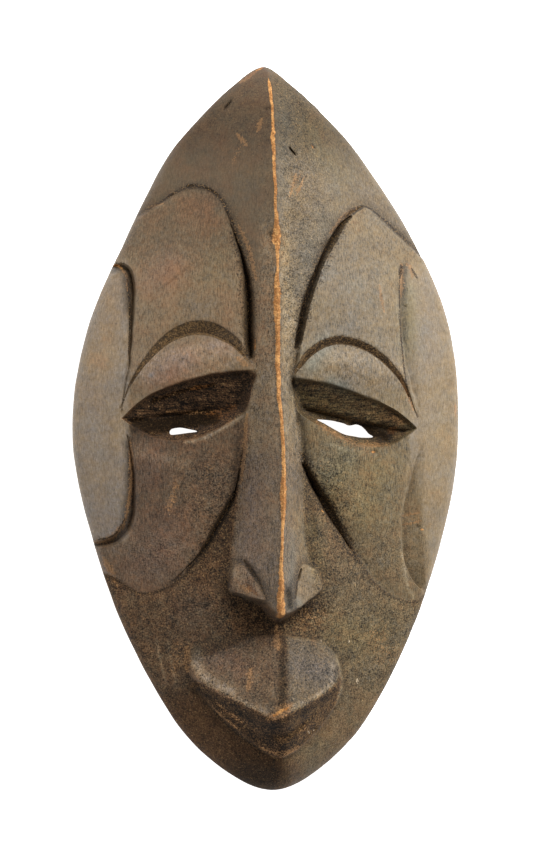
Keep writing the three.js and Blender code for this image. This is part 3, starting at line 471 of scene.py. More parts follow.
# The stain of each part, on the left and on the right of the ridge, one part laid over the other.
# Lightness is the share of light that the wood gives back, redness runs from 0, greyed, to 1,
# liveliness scales the specks and streaks, and gold is a yellow cast, or a lilac one below 0.
TONES = {
    "forehead_top": ((0.051, 0.70, 0.60, 0.0), (0.056, 0.50, 0.80, 0.3)),
    "forehead": ((0.073, 0.58, 0.50, 0.0), (0.102, 0.34, 0.80, 0.1)),
    "beside_nose": ((0.044, 0.90, 1.20, 0.1), (0.080, 0.60, 1.00, 0.3)),
    "lower_face": ((0.058, 0.75, 1.10, 0.0), (0.088, 0.52, 0.95, 0.4)),
    "chin_side": ((0.048, 1.10, 0.90, 0.2), (0.090, 0.60, 0.70, 0.4)),
    "chin": ((0.017, 1.50, 0.90, 0.5), (0.030, 1.00, 0.90, 0.8)),
    "under_nose": ((0.045, 0.90, 1.60, 0.2), (0.055, 0.75, 1.70, 0.6)),
    "ridge": ((0.110, 0.55, 1.30, -0.1), (0.138, 0.42, 1.10, 0.2)),
    "nose": ((0.100, 0.50, 1.15, -0.3), (0.103, 0.40, 1.40, -0.1)),
    "nose_root": ((0.120, 0.50, 1.10, 0.0), (0.126, 0.40, 1.30, 0.2)),
    "wings": ((0.100, 0.65, 1.10, -0.3), (0.126, 0.45, 0.90, 0.0)),
    "nose_underside": ((0.032, 1.00, 1.80, 0.3), (0.048, 0.85, 2.00, 0.5)),
    "panel_top": ((0.084, 0.60, 0.90, 0.0), (0.116, 0.37, 0.90, 0.2)),
    "panel": ((0.120, 0.56, 0.80, 0.0), (0.130, 0.32, 0.90, 0.2)),
    "cheek": ((0.064, 0.68, 1.20, -0.3), (0.104, 0.50, 1.15, 0.5)),
    "cheek_foot": ((0.085, 0.66, 1.00, -0.3), (0.090, 0.50, 1.00, 0.4)),
    "lid": ((0.151, 0.45, 1.00, -0.2), (0.144, 0.33, 1.10, 0.1)),
    "side": ((0.166, 0.25, 0.60, -0.2), (0.160, 0.35, 0.60, 0.1)),
    "jaw_hollow": ((0.122, 0.40, 0.70, 0.0), (0.108, 0.50, 0.80, 0.3)),
    "upper_lip": ((0.071, 0.65, 1.10, -0.2), (0.066, 0.42, 1.20, 0.0)),
    "lower_lip": ((0.034, 1.30, 2.60, 0.6), (0.044, 1.10, 2.20, 1.0)),
    "socket": ((0.031, 1.15, 1.90, 0.2), (0.052, 0.72, 1.30, 1.0)),
}

# From where to where along Y the stain of a part sets in
PART_Y = {
    "forehead": (66, 54), "beside_nose": (6, -4), "lower_face": (-30, -40), "chin_side": (-54, -62),
    "ridge": (50, 40), "nose": (4, -6), "nose_root": (-8, 0), "above_root": (9, 17), "panel": (42, 33),
    "cheek": (4, 0), "cheek_foot": (-17, -26), "side": (38, 35),
}
SIDE_X = (30.4, 31.4)
SIDE_FEET = (-24.5, -34.0)
SIDE_FOOT_BLEND = 1.5
# Parts without an edge: middle X and Y, half length, half width and direction
CHIN_SPOT = (-2, -77, 8, 6, 0)
UNDER_NOSE_SPOT = (1.5, -42, 9, 2.6, 0)
NOSE_UNDERSIDE_SPOT = (1.0, -40, 11, 4.5, 0)

# The hollow beside the right cheek, which is stained darker than the side.
JAW_HOLLOW = [
    (31.0, -7.6), (32.4, -10.0), (34.2, -19.0), (36.0, -28.8), (35.2, -38.0), (30.4, -35.0),
    (29.2, -28.0), (29.0, -18.0), (29.8, -10.5),
]

# How much dirt lies in each cut. The brows have a colour of their own.
GROOVE_DIRT = {
    "left_nostril": 0.5, "right_nostril": 0.8, "left_forehead": 1.0, "right_forehead": 1.0,
    "left_cheek": 1.2, "right_cheek": 0.9, "left_temple": 0.35, "left_jaw": 0.2,
    "right_temple": 0.05, "right_jaw": 0.0,
}

# How much dirt lies round the panels near the top, beside the nose and at the lips, how much dirt and
# painted shade lie round the wings of the nose, and from where to where along Y it sets in.
GRIME_BY_TOP = 0.45
GRIME_BY_NOSE = 0.6
GRIME_AND_SHADE_BY_WINGS = 0.8
GRIME_BY_LIPS = 0.6
GRIME_TOP_Y = (50, 38)
GRIME_FOOT_Y = (-38, -20)
GRIME_NOSE_Y = (14, 4)
GRIME_NOSE_END_Y = (-40, -30)
# The seam at the foot of a panel: its middle outside the panel and its width
SEAM_PLACE = 0.45
SEAM_WIDTH = 0.35
# From these values on, a face has the dull wood.
GRIMY_DIRT = 0.6
GRIMY_MARK = 0.3
GRIMY_SOCKET = 0.5
GRIMY_SHADE = 0.022

# Soft spots of another tint: X, Y, half length, half width, direction and strength.
GOLDEN_SPOTS = [
    (14.0, -10.0, 8.0, 4.0, 62, 0.5),
    (22.0, -14.0, 9.0, 5.0, 80, 0.4),
    (8.5, -26.0, 8.0, 3.0, -80, 0.5),
    (20.0, -45.0, 9.0, 6.0, 0, 0.4),
    (10.0, 5.0, 7.0, 2.5, -20, 0.5),
    (31.0, 24.0, 9.0, 2.2, 88, 0.7),
    (12.0, 60.0, 9.0, 4.0, -50, 0.4),
    (-12.0, 36.0, 6.0, 3.0, 60, 0.3),
]
LILAC_SPOTS = [
    (-22.0, 13.0, 7.0, 3.5, 35, 0.8),
    (-12.0, 18.0, 4.0, 2.5, 0, 0.5),
    (-24.0, -26.0, 10.0, 6.0, 60, 0.6),
    (-26.0, -8.0, 6.0, 4.0, 80, 0.5),
    (-5.0, -20.0, 12.0, 2.5, 88, 0.5),
    (-24.0, 34.0, 6.0, 4.0, 50, 0.5),
    (-10.0, -50.5, 5.0, 3.0, -20, 0.6),
    (-17.0, -40.0, 6.0, 5.0, 60, 0.3),
    (8.0, -52.0, 5.0, 3.0, 0, 0.4),
]
GREYED_SPOTS = [
    (2.4, 64, 10, 1.6, 88, 0.25),
    (9, 38, 12, 3, 70, 0.25),
    (9.5, 16.0, 5, 2.2, 60, 0.7),
    (14.0, 9.5, 3, 1.6, -20, 0.7),
    (3.5, -37.5, 2.5, 1.6, 0, 0.8),
    (3.0, -30, 7, 1.2, 88, 0.5),
    (-26.3, 11.6, 0.6, 0.5, 0, 0.8),
    (8, -52, 6, 3, -10, 0.25),
    (13, -7, 6, 4, 40, 0.25),
]
REDDENED_SPOTS = [
    (-16.0, 47.5, 4.0, 3.5, 0, 0.3),
    (-21.5, 34.0, 4.0, 3.0, 90, 0.25),
    (-36, 20, 14, 3, 80, 0.2),
    (-18, 12, 8, 4, 0, 0.1),
]
OCHRE_SPOTS = [
    (-7.7, 59.6, 3.0, 0.8, 62, 0.8),
    (4.8, 53.5, 3.4, 1.0, 60, 0.9),
    (-21.5, -14.9, 5.0, 1.2, 75, 0.9),
    (-14.0, -8.5, 3.0, 1.5, 70, 0.7),
    (32.8, -20, 1.6, 1.0, 0, 0.8),
    (-24.3, 23.6, 6, 0.9, 40, 0.5),
    (-8.0, 40, 5, 1.5, 70, 0.5),
    (-20.5, -50.0, 5, 2.5, 80, 0.8),
    (25, -48, 8, 5, -60, 0.7),
    (6, -66, 5, 3, 50, 0.6),
    (-5, -52, 6, 4, -30, 0.5),
    (28.2, 1.9, 2.2, 1.3, -25, 0.9),
    (8.0, 9.0, 5.0, 1.2, -15, 0.5),
    (9.0, -40.6, 5.0, 1.5, 10, 0.75),
    (-4.0, -40.0, 5.0, 1.5, -15, 0.5),
    (12.0, -10.0, 6.0, 3.0, -60, 0.6),
]

# Marks along lines: half width, strength and line.
MARKS = {
    "bare": [
        (0.22, 0.8, [(-0.9, 79.6), (-2.6, 78.8)]),
        (0.28, 1.0, [(-34.6, 36.0), (-33.0, 35.8), (-31.8, 34.9)]),
        (0.22, 0.9, [(-4.3, 19.4), (-4.3, 16.8)]),
        (0.3, 1.0, [(22.0, -5.1), (22.8, -5.2)]),
        (0.2, 1.0, [(10.8, -17.8), (11.2, -18.2)]),
        (0.3, 1.0, [(33.8, -22.2), (34.5, -22.4)]),
        (0.18, 1.0, [(9.0, 61.6), (9.2, 61.2)]),
        (0.4, 0.5, [(-0.9, -61.6), (0.6, -60.6), (2.2, -59.8)]),
    ],
    "ochre": [
        (0.35, 0.55, [(-2.6, 78.6), (-6.6, 75.6)]),
        (0.5, 0.8, [(-2.4, 67.2), (-3.4, 64.4)]),
        (0.45, 0.6, [(-7.6, 64.0), (-5.6, 61.4)]),
        (0.3, 0.7, [(4.8, 55.2), (3.4, 50.2)]),
        (0.3, 0.7, [(6.8, 54.6), (5.0, 50.6)]),
        (0.6, 0.7, [(29.4, 36.2), (29.4, 33.0), (29.1, 29.0)]),
        (0.7, 0.7, [(-38.0, -24.9), (-34.6, -24.0), (-32.4, -21.4)]),
        (0.6, 0.8, [(-5.2, -52.0), (-5.9, -56.4)]),
        (0.9, 0.7, [(-7.2, -34.0), (-5.6, -35.0)]),
        (0.8, 0.9, [(0.2, -45.4), (0.8, -47.6)]),
        (1.3, 0.9, [(-1.8, -62.2), (0.3, -61.0), (2.7, -59.4)]),
        (0.8, 0.9, [(-2.6, -69.4), (1.2, -70.8), (5.8, -69.2)]),
        (0.8, 0.9, [(-18.2, -47.6), (-18.2, -51.0), (-18.0, -53.0)]),
        (0.5, 0.8, [(-5.9, 3.2), (-6.3, -4.0), (-6.9, -12.0)]),
        (0.4, 0.9, [(42.2, 5.6), (42.2, 2.8)]),
        (0.7, 0.9, [(-36.2, -28.4), (-34.4, -31.4), (-33.1, -34.5)]),
        (0.45, 0.9, [(-12.2, -59.6), (-9.4, -61.9), (-6.7, -63.8)]),
        (0.3, 0.7, [(-12.9, -60.8), (-9.8, -63.4), (-7.3, -65.4)]),
        (0.8, 0.3, [(9.6, 1.1), (15.2, -2.0), (19.8, -3.7), (25.6, -3.4)]),
        (0.7, 0.8, [(-8.0, 15.2), (-6.0, 13.6)]),
        (0.3, 0.8, [(-25.8, 48.6), (-23.2, 49.3)]),
        (0.5, 0.8, [(0.7, -42.5), (0.6, -47.0)]),
        (0.35, 0.7, [(28.4, 11.8), (30.2, 8.0), (31.8, 4.0)]),
        (0.4, 0.8, [(-22.6, 3.7), (-17.6, 3.6), (-14.3, 3.7)]),
        (0.35, 0.8, [(-33.0, 35.9), (-31.2, 33.6), (-31.0, 30.0)]),
        (0.5, 0.6, [(-30.6, -3.0), (-30.3, -10.0), (-30.7, -15.4), (-32.0, -22.0)]),
        (0.5, 0.7, [(-7.6, 44.0), (-5.2, 38.0), (-4.0, 32.0)]),
        (0.5, 0.8, [(12.6, 42.4), (15.8, 46.2), (19.4, 48.6)]),
        (0.3, 0.9, [(29.6, -19.3), (31.5, -19.0), (33.6, -18.6)]),
        (0.3, 0.8, [(29.8, -21.2), (32.0, -20.9), (33.8, -20.4)]),
        (0.5, 0.8, [(30.6, 36.4), (31.6, 35.6), (32.0, 33.6)]),
        (0.35, 0.7, [(24.0, 31.4), (24.4, 28.0), (25.0, 25.6)]),
    ],
    "rusty": [
        (1.3, 1.0, [(-14.0, 2.6), (-10.9, 3.2), (-8.0, 4.6)]),
        (0.9, 0.9, [(26.6, -1.2), (28.0, 0.2)]),
        (0.25, 0.9, [(-1.6, 79.3), (-5.4, 76.6)]),
        (0.5, 0.9, [(-17.4, 8.6), (-13.8, 9.6)]),
        (0.4, 0.9, [(-0.2, 42.6), (-0.9, 40.2)]),
        (0.6, 0.9, [(-6.2, -33.6), (-4.4, -35.6)]),
    ],
    # Two dark marks are painted shadow: the one in the pocket right of the right slit and the one under the
    # left ledge.
    "dark": [
        (0.7, 1.0, [(-9.6, 11.3), (-7.0, 11.6)]),
        (1.5, 1.0, [(18.6, 0.8), (21.4, -0.2), (24.4, -1.1), (26.4, -1.8)]),
        (1.7, 1.2, [(-29.4, 0.9), (-25.0, 0.9), (-20.0, 1.4), (-14.0, 1.8), (-12.0, 2.2)]),
        (0.35, 0.8, [(31.9, 35.4), (33.2, 33.2)]),
        (0.55, 0.8, [(29.4, 36.0), (28.9, 33.4)]),
        (0.35, 0.9, [(-31.4, 34.0), (-30.8, 31.6), (-30.5, 27.0), (-30.6, 21.0), (-31.0, 16.0)]),
        (2.2, 0.34, [(6.4, -6.0), (8.4, -10.9), (11.4, -16.4), (14.6, -21.6), (19.0, -28.6)]),
        (1.8, 0.3, [(-9.0, -15.5), (-12.3, -21.8), (-15.2, -26.7), (-18.0, -30.0)]),
        (1.7, 0.3, [(-8.6, 42.0), (-6.9, 37.0), (-5.9, 30.0), (-5.6, 22.0), (-5.5, 16.0)]),
        (1.6, 0.3, [(17.0, 45.8), (12.0, 38.8), (9.0, 32.8), (6.8, 26.8), (4.9, 17.6)]),
        (1.0, 0.3, [(7.2, 15.9), (11.2, 18.6), (15.8, 19.1), (21.0, 17.6), (26.0, 14.1)]),
        (0.3, 0.8, [(0.5, -71.6), (0.6, -79.0)]),
        (0.24, 0.9, [(29.8, 35.8), (28.9, 33.2), (28.7, 26.0), (29.0, 19.0), (29.7, 12.0), (30.7, 7.0)]),
        (0.45, 0.8, [
            (-24.6, 48.9), (-20.6, 51.6), (-16.7, 53.1), (-12.4, 51.4), (-9.6, 46.6), (-7.8, 41.0),
        ]),
        (0.3, 0.7, [(31.0, 41.6), (27.6, 44.7), (24.0, 47.4), (20.8, 49.0), (18.0, 47.8)]),
        (0.8, 0.9, [(20.6, 48.8), (17.6, 47.2), (14.4, 43.6)]),
        (0.25, 0.6, [(-38.6, -24.6), (-34.2, -23.4), (-31.6, -19.6)]),
        (0.4, 0.9, [(-13.9, -59.7), (-11.2, -63.0), (-7.5, -66.3), (-3.9, -69.0), (-0.6, -71.0)]),
        (0.22, 0.9, [(-6.6, -3.0), (-7.0, -8.0), (-7.4, -11.0)]),
    ],
    "pale": [
        (0.2, 1.0, [(10.7, -46.1), (10.7, -46.6)]),
        (0.2, 1.0, [(17.2, -46.4), (17.2, -46.9)]),
        (0.35, 0.9, [(19.4, -55.1), (19.5, -56.0)]),
        (0.2, 0.8, [(9.0, -65.6), (9.3, -65.9)]),
        (0.2, 0.8, [(7.8, -65.9), (8.0, -66.2)]),
        (0.25, 0.9, [(6.4, -6.8), (6.8, -7.6)]),
        (0.2, 0.7, [(4.8, 13.0), (5.8, 12.8)]),
        (0.35, 0.9, [(0.6, -23.4), (0.9, -24.4)]),
    ],
}

# Soft lines of painted highlight along rounded edges, partly rubbed wear as well: half width, strength and
# line.
PAINTED_HIGHLIGHT_AND_WEAR_LINES = [
    (0.35, 0.75, [(-19.0, -3.0), (-16.6, -2.6), (-13.6, -1.4), (-10.4, 0.4), (-7.0, 2.8)]),
    (1.1, 0.75, [(-15.9, -48.6), (-16.2, -51.0), (-15.2, -53.4), (-12.6, -55.3), (-9.2, -56.9)]),
    (0.55, 0.6, [(-11.0, -56.7), (-6.3, -59.1), (-2.6, -60.9)]),
    (0.5, 0.6, [(3.2, -59.8), (8.4, -57.8), (12.6, -55.4)]),
    (0.4, 0.6, [(13.1, -51.2), (12.4, -54.6)]),
    (0.3, 0.6, [(14.2, -50.4), (15.7, -54.7), (14.7, -59.4)]),
    (0.3, 0.45, [(30.7, -8.0), (29.9, -15.8), (29.5, -22.4)]),
    (0.3, 0.85, [(29.5, -21.0), (29.8, -28.0), (31.0, -34.7), (32.6, -37.4)]),
    (0.25, 0.4, [(28.2, 30.0), (28.4, 20.0), (28.8, 13.0)]),
    (0.3, 0.4, [(-24.8, -46.0), (-22.6, -56.0)]),
    (0.3, 0.35, [(-22.4, -46.4), (-20.4, -56.6)]),
    (1.2, 0.35, [(-8.4, -31.2), (-7.0, -32.0)]),
    (0.35, 0.5, [(12.6, -3.4), (16.0, -4.6), (20.0, -5.2)]),
    (1.5, 0.3, [(-29.0, -5.0), (-24.0, -6.4), (-19.0, -7.4)]),
    (0.35, 0.5, [(24.0, 33.0), (24.6, 28.6)]),
    (1.6, 0.25, [(4.0, 26.0), (3.8, 14.0)]),
]
# Soft lines of painted shade under the ledges, beside the right slit and under the upper lip, and of dark
# stain along grooves: half width, strength and line.
PAINTED_SHADE_AND_DARK_STAIN_LINES = [
    (2.0, 0.95, [(-29.0, 0.6), (-25.0, 0.2), (-20.6, 1.0), (-17.0, 2.0), (-13.0, 2.4)]),
    (1.5, 1.0, [(19.0, 0.0), (22.6, -0.9), (26.0, -1.9)]),
    (1.0, 0.75, [(-16.4, -57.0), (-12.6, -58.7), (-7.5, -61.2), (-2.9, -63.5), (-0.2, -64.3)]),
    (0.6, 0.45, [(3.0, -62.0), (8.0, -60.2), (13.4, -57.4)]),
    (1.0, 0.7, [(1.9, -45.2), (1.5, -51.8), (1.0, -59.0)]),
    (1.3, 0.85, [(2.1, -34.6), (2.5, -37.8)]),
    (0.9, 0.5, [(6.2, 4.0), (6.6, -2.0), (7.4, -8.0)]),
    (1.2, 0.4, [(8.4, -16.0), (9.4, -23.0)]),
    (0.9, 0.5, [(-7.6, -2.0), (-8.2, -9.0), (-9.0, -14.0)]),
    (1.2, 0.5, [(-9.6, -21.0), (-10.4, -27.0)]),
    (0.9, 0.75, [
        (-31.0, -3.0), (-30.7, -10.3), (-31.1, -15.4), (-32.0, -21.4), (-34.4, -24.4), (-37.5, -25.2),
    ]),
    (0.9, 0.7, [(-33.6, 34.8), (-31.8, 34.2), (-31.2, 31.0), (-30.9, 26.0)]),
    (1.0, 0.55, [(30.2, 35.8), (29.7, 33.0), (29.6, 29.0)]),
    (0.8, 0.3, [(29.5, 29.0), (29.8, 20.0)]),
    (0.6, 0.6, [(-17.5, 52.7), (-13.5, 51.8), (-11.0, 49.2), (-9.2, 45.0), (-7.6, 40.0), (-6.8, 35.0)]),
    (1.0, 0.4, [(3.6, 11.4), (4.4, 9.0)]),
    (1.4, 0.5, [(-25.6, 6.0), (-20.0, 8.0), (-13.0, 9.4)]),
]
# Lightness and redness of the painted highlight and wear lines
HIGHLIGHT_AND_WEAR_SHADE = 0.19
HIGHLIGHT_AND_WEAR_REDNESS = 0.25
# Lightness of the painted shade and dark stain lines
PAINTED_SHADE_AND_DARK_STAIN_LIGHTNESS = 0.007
# How much lighter a reddened spot is, and how far an ochre spot reaches
REDDENED_LIFT = 0.1
OCHRE_SPREAD = 1.3

# Colours of the finish. A tint is multiplied by the lightness of the part.
ASHEN_TINT = (1.12, 0.98, 0.78)
BROWN_TINT = (1.31, 0.925, 0.53)
RED_TINT = (1.58, 0.81, 0.39)
BLUISH_TINT = (0.95, 1.03, 0.92)
GOLD_CAST = (-0.01, 0.035, -0.16)
GROOVE_BLACK = (0.014, 0.009, 0.0055)
BROW_OLIVE = (0.060, 0.037, 0.018)
BROW_OCHRE = (0.150, 0.088, 0.036)
WORN_OCHRE = (0.26, 0.135, 0.055)
RUST = (0.11, 0.045, 0.014)
SPECK_OCHRE = (0.30, 0.19, 0.085)
CHIP_PALE = (0.42, 0.33, 0.22)
BARE_ORANGE = (0.26, 0.108, 0.030)
BARE_PALE = (0.46, 0.235, 0.080)
HOLLOW_BROWN = (0.075, 0.047, 0.028)
HOLLOW_TAN = (0.15, 0.096, 0.055)

CAVITY_STEP = 0.5
CAVITY_RANGE = 1.0
CAVITY_FULL = 0.5
CAVITY_MARGIN = 3
CAVITY_SLOPE = 2
CAVITY_SMOOTHING = 0.5
MARK_END = 0.35
RIDGE_BARE_TOP = 77.5
NOSE_TIP_X = 0.6
RIDGE_SWAY_WAVES = [(0.12, 1.7, 61, 1.0), (0.05, 0.6, 62, 1.0)]
SHARP_ANGLE = 55.0

# The woods in the order of their materials, and the fields of the corners behind the face
FACE_WOOD, HOLLOW_WOOD, GRIMY_WOOD = range(3)
FACE_ROUGHNESS = 0.52
HOLLOW_ROUGHNESS = 0.75
FACE_SHEEN = 0.22
GRIMY_SHEEN = 0.04
HOLLOW_SHEEN = 0.3
PLAIN = {
    "bare": -1.0, "ochre": -1.0, "rusty": -1.0, "dark": -1.0, "pale": -1.0,
    "shade": 0.12, "redness": 0.4, "lively": 1.0,
}

# Sizes of the grain in millimetres, and the share of pores and specks
FACE_GRAIN = {"Dash Width": 0.26, "Dash Length": 1.3, "Mottle Size": 2.6, "Cloud Size": 12.0}
HOLLOW_GRAIN = {"Dash Width": 0.35, "Dash Length": 6.0, "Mottle Size": 3.5, "Cloud Size": 18.0}
FACE_GRIT = {"Size": 0.5, "Share": 0.5}
HOLLOW_GRIT = {"Size": 0.6, "Share": 0.3}
FINE_SIZE = 0.32
FLECK_SIZE = 0.8
BLOT_SIZE = 4.0
STREAK_SIZE = 0.35
STREAK_STRETCH = (0.06, 1.0, 1.0)
FACE_RELIEF = 0.06
FACE_RELIEF_SIZE = 0.6
HOLLOW_RELIEF = 0.07
HOLLOW_RELIEF_SIZE = 0.8
# How strongly a noise tells in the stain: on smooth ground, and how much more on rough ground
FACE_TEXTURE = {
    "Mottle": (1.2, 1.6), "Clouds": (0.5, 0.0), "Dashes": (1.7, -0.9), "Fine": (1.1, 2.2),
}
SOCKET_TEXTURE = 3.6
DARKEST_TEXTURE = 0.12
# How much of the stain is hidden in low ground, in nicks and by dark marks, two of which are painted shadow
CAVITY_DIRT = 0.45
NICK_DIRT = 0.8
DARK_MARK_DIRT_AND_SHADE = 0.9
# The share of the stain that the thickest dirt and painted shade hide, and that is gone where the wood is
# bare
DIRT_AND_SHADE_COVER = 0.92
BARE_COVER = 0.95
# How ragged the marks of a kind are, and the size of their chips
MARK_EDGES = {
    "dark": (0.9, 0.5), "ochre": (1.8, 0.45), "rusty": (1.8, 0.4), "pale": (1.0, 0.4), "bare": (0.7, 0.6),
}
# How strongly such a mark colours the stain
MARK_COLOURS = {"ochre": (0.55, WORN_OCHRE), "rusty": (0.7, RUST), "pale": (0.7, CHIP_PALE)}

# The setting
LENS = 120.0
SENSOR = 36.0
CAMERA_DISTANCE = 631.3
CAMERA_TURN = 7.0
CAMERA_CLIP = (0.01, 10)
TARGET_HEIGHT = 4.0
FLOOR_SIZE = 3.0
FLOOR_SHADE = 0.9
FLOOR_ROUGHNESS = 0.9
WORLD_LIGHT = 0.12
LIGHT_TARGET = (0, 0, 0.01)
# Softboxes: place and side in metres, and power in watts
SOFTBOXES = {
    "key": ((0.25, 0.42, 0.46), 0.36, 7.0),
    "side": ((0.60, 0.10, 0.25), 0.30, 2.0),
    "fill": ((-0.50, 0.10, 0.30), 0.40, 1.5),
}


# Curves, tables and noise

def smoothstep(low, high, value):
    t = np.clip((value - low) / (high - low), 0, 1)
    return t * t * (3 - 2 * t)


def mix(a, b, share):
    return a + (b - a) * share


def soft_max(a, b, size):
    share = np.clip(0.5 + 0.5 * (a - b) / size, 0, 1)
    return b + (a - b) * share + size * share * (1 - share)


def soft_min(a, b, size):
    return -soft_max(-a, -b, size)


def through_table(table):
    """A smooth curve through a table of (position, value), which never overshoots the values."""
    at, value = np.array(table, float).T
    span = np.diff(at)
    rise = np.diff(value) / span
    before, after = rise[:-1], rise[1:]
    total = np.where(before * after > 0, before + after, 1.0)
    middle = np.where(before * after > 0, 2 * before * after / total, 0.0)
    slope = np.concatenate([rise[:1], middle, rise[-1:]])

    def read(position):
        p = np.clip(position, at[0], at[-1])
        i = np.clip(np.searchsorted(at, p, side="right") - 1, 0, len(at) - 2)
        t = (p - at[i]) / span[i]
        t2, t3 = t * t, t * t * t
        start = (2 * t3 - 3 * t2 + 1) * value[i] + (t3 - 2 * t2 + t) * span[i] * slope[i]
        return start + (3 * t2 - 2 * t3) * value[i + 1] + (t3 - t2) * span[i] * slope[i + 1]

    return read


def waves(x, y, length, seed, stretch=1.0):
    """Smooth noise from -1 to 1 over the plan, with bumps about `length` across."""
    lattice = np.random.default_rng(seed).uniform(-1, 1, (LATTICE, LATTICE))
    u = x / length + LATTICE_START
    v = y / (length * stretch) + LATTICE_START
    i, j = np.floor(u).astype(int), np.floor(v).astype(int)
    s = smoothstep(0, 1, u - i)
    t = smoothstep(0, 1, v - j)
    i0, j0, i1, j1 = i % LATTICE, j % LATTICE, (i + 1) % LATTICE, (j + 1) % LATTICE
    low = mix(lattice[i0, j0], lattice[i1, j0], s)
    high = mix(lattice[i0, j1], lattice[i1, j1], s)
    return mix(low, high, t)


def summed_waves(x, y, rows):
    """Several noises laid over each other: amount, length, seed and stretch of each."""
    return sum(amount * waves(x, y, length, seed, stretch) for amount, length, seed, stretch in rows)


class Line:
    """A smooth curve through given points, as a fine polyline that can be measured against."""

    def __init__(self, points, closed=False, steps=8):
        p = np.array(points, float)
        if closed:
            p = np.vstack([p[-1], p, p[:2]])
        else:
            p = np.vstack([2 * p[0] - p[1], p, 2 * p[-1] - p[-2]])
        line = []
        for a, b, c, d in zip(p, p[1:], p[2:], p[3:]):
            for t in np.arange(steps) / steps:
                bend = (2 * a - 5 * b + 4 * c - d) * t * t + (3 * b - a - 3 * c + d) * t ** 3
                line.append(0.5 * (2 * b + (c - a) * t + bend))
        if not closed:
            line.append(p[-2])
        self.set_points(np.array(line), closed)

    def set_points(self, points, closed):
        self.points = points
        self.closed = closed
        ends = np.vstack([points[1:], points[:1]]) if closed else points[1:]
        self.starts = points[:len(ends)]
        self.ways = ends - self.starts
        self.lengths = np.hypot(*self.ways.T)
        self.before = np.concatenate([[0], np.cumsum(self.lengths)])
        self.length = self.before[-1]
        self.low, self.high = points.min(0), points.max(0)

    def joined(self, other):
        """This line and another that starts at its end, run together as one closed edge."""
        return loop_through(np.vstack([self.points, other.points[1:-1]]))

    def is_near(self, x, y, margin):
        across = (x > self.low[0] - margin) & (x < self.high[0] + margin)
        return across & (y > self.low[1] - margin) & (y < self.high[1] + margin)

    def nearest(self, x, y):
        """Distance to the curve, share of the way along it, and the side: +1 on the left of travel."""
        best = np.full(x.shape, np.inf)
        along = np.zeros(x.shape)
        side = np.ones(x.shape)
        for (ax, ay), (dx, dy), length, before in zip(self.starts, self.ways, self.lengths, self.before):
            t = np.clip(((x - ax) * dx + (y - ay) * dy) / (length * length), 0, 1)
            off_x, off_y = x - ax - t * dx, y - ay - t * dy
            distance = np.hypot(off_x, off_y)
            closer = distance < best
            best = np.where(closer, distance, best)
            along = np.where(closer, (before + t * length) / self.length, along)
            side = np.where(closer, np.sign(dx * off_y - dy * off_x), side)
        return best, along, side

    def is_inside(self, x, y):
        hit = np.zeros(x.shape, bool)
        for (ax, ay), (dx, dy) in zip(self.starts, self.ways):
            if dy != 0:
                hit ^= ((ay > y) != (ay + dy > y)) & (x < ax + (y - ay) * dx / dy)
        return hit

    def depth(self, x, y, reach):
        """Distance inside the closed curve, negative outside it and never below -reach."""
        result = np.full(x.shape, -float(reach))
        near = self.is_near(x, y, reach)
        if near.any():
            xs, ys = x[near], y[near]
            distance = self.nearest(xs, ys)[0]
            result[near] = np.where(self.is_inside(xs, ys), distance, -np.minimum(distance, reach))
        return result

    def stations(self, step, offsets):
        """Rows of points along the curve, at offsets to the left of travel that may read the share."""
        count = max(2, round(self.length / step))
        share = np.arange(count if self.closed else count + 1) / count
        reach = share * self.length
        i = np.clip(np.searchsorted(self.before, reach, side="right") - 1, 0, len(self.lengths) - 1)
        t = (reach - self.before[i]) / self.lengths[i]
        at = self.starts[i] + t[:, None] * self.ways[i]
        left = np.stack([-self.ways[i, 1], self.ways[i, 0]], 1) / self.lengths[i, None]
        rows = []
        for offset in offsets:
            across = np.broadcast_to(offset(share) if callable(offset) else offset, share.shape)
            rows.append(at + left * across[:, None])
        return np.concatenate(rows)


def loop_through(points):
    """A closed line with these very points."""
    loop = Line.__new__(Line)
    loop.set_points(points, True)
    return loop


outline = Line(OUTLINE, closed=True, steps=10)
crown = through_table(CROWN)
fullness = through_table(FULLNESS)
ridge_x = through_table(RIDGE_X)
ridge_z = through_table(RIDGE_Z)
fall_left = through_table(FALL_LEFT)
fall_right = through_table(FALL_RIGHT)
ridge_blend = through_table(RIDGE_BLEND)
cheek_rounding = through_table(CHEEK_ROUNDING)
upper_lip_z = through_table(UPPER_LIP_Z)
ridge_bare = through_table(RIDGE_BARE)
nose_end_at = through_table(NOSE_END)
panels = [(Line(panel["edge"], closed=True), through_table(panel["relief"])) for panel in PANELS]
wings = [Line(edge, closed=True) for edge in WINGS]


def measured(marks):
    """Marks with their lines made ready to be measured against."""
    return [(half_width, strength, Line(line)) for half_width, strength, line in marks]


mark_lines = {kind: measured(marks) for kind, marks in MARKS.items()}
painted_highlight_and_wear_lines = measured(PAINTED_HIGHLIGHT_AND_WEAR_LINES)
painted_shade_and_dark_stain_lines = measured(PAINTED_SHADE_AND_DARK_STAIN_LINES)
upper_lip = Line(UPPER_LIP, closed=True)
lower_lip = Line(LOWER_LIP, closed=True)
jaw_hollow = Line(JAW_HOLLOW, closed=True)


class Groove:
    """One V-cut: its line, its width along the way and its depth."""

    def __init__(self, line, half_width, depth, deepest):
        self.path = Line(line)
        self.width = through_table(half_width)
        self.widest = max(width for _, width in half_width)
        self.depth = depth
        self.deepest = deepest

    def cut(self, x, y):
        """Depth of the cut, and how near its bottom a point is, from 0 to 1."""
        depth, share = np.zeros(x.shape), np.zeros(x.shape)
        near = self.path.is_near(x, y, self.widest)
        if near.any():
            distance, along, side = self.path.nearest(x[near], y[near])
            width = self.width(along)
            across = side * distance / width
            up, down = (across + 1) / (1 + self.deepest), (1 - across) / (1 - self.deepest)
            share[near] = np.clip(np.where(across < self.deepest, up, down), 0, 1)
            size = (width / self.widest) ** GROOVE_TAPER
            depth[near] = self.depth * size * share[near] ** GROOVE_WALLS
            share[near] *= size
        return depth, share


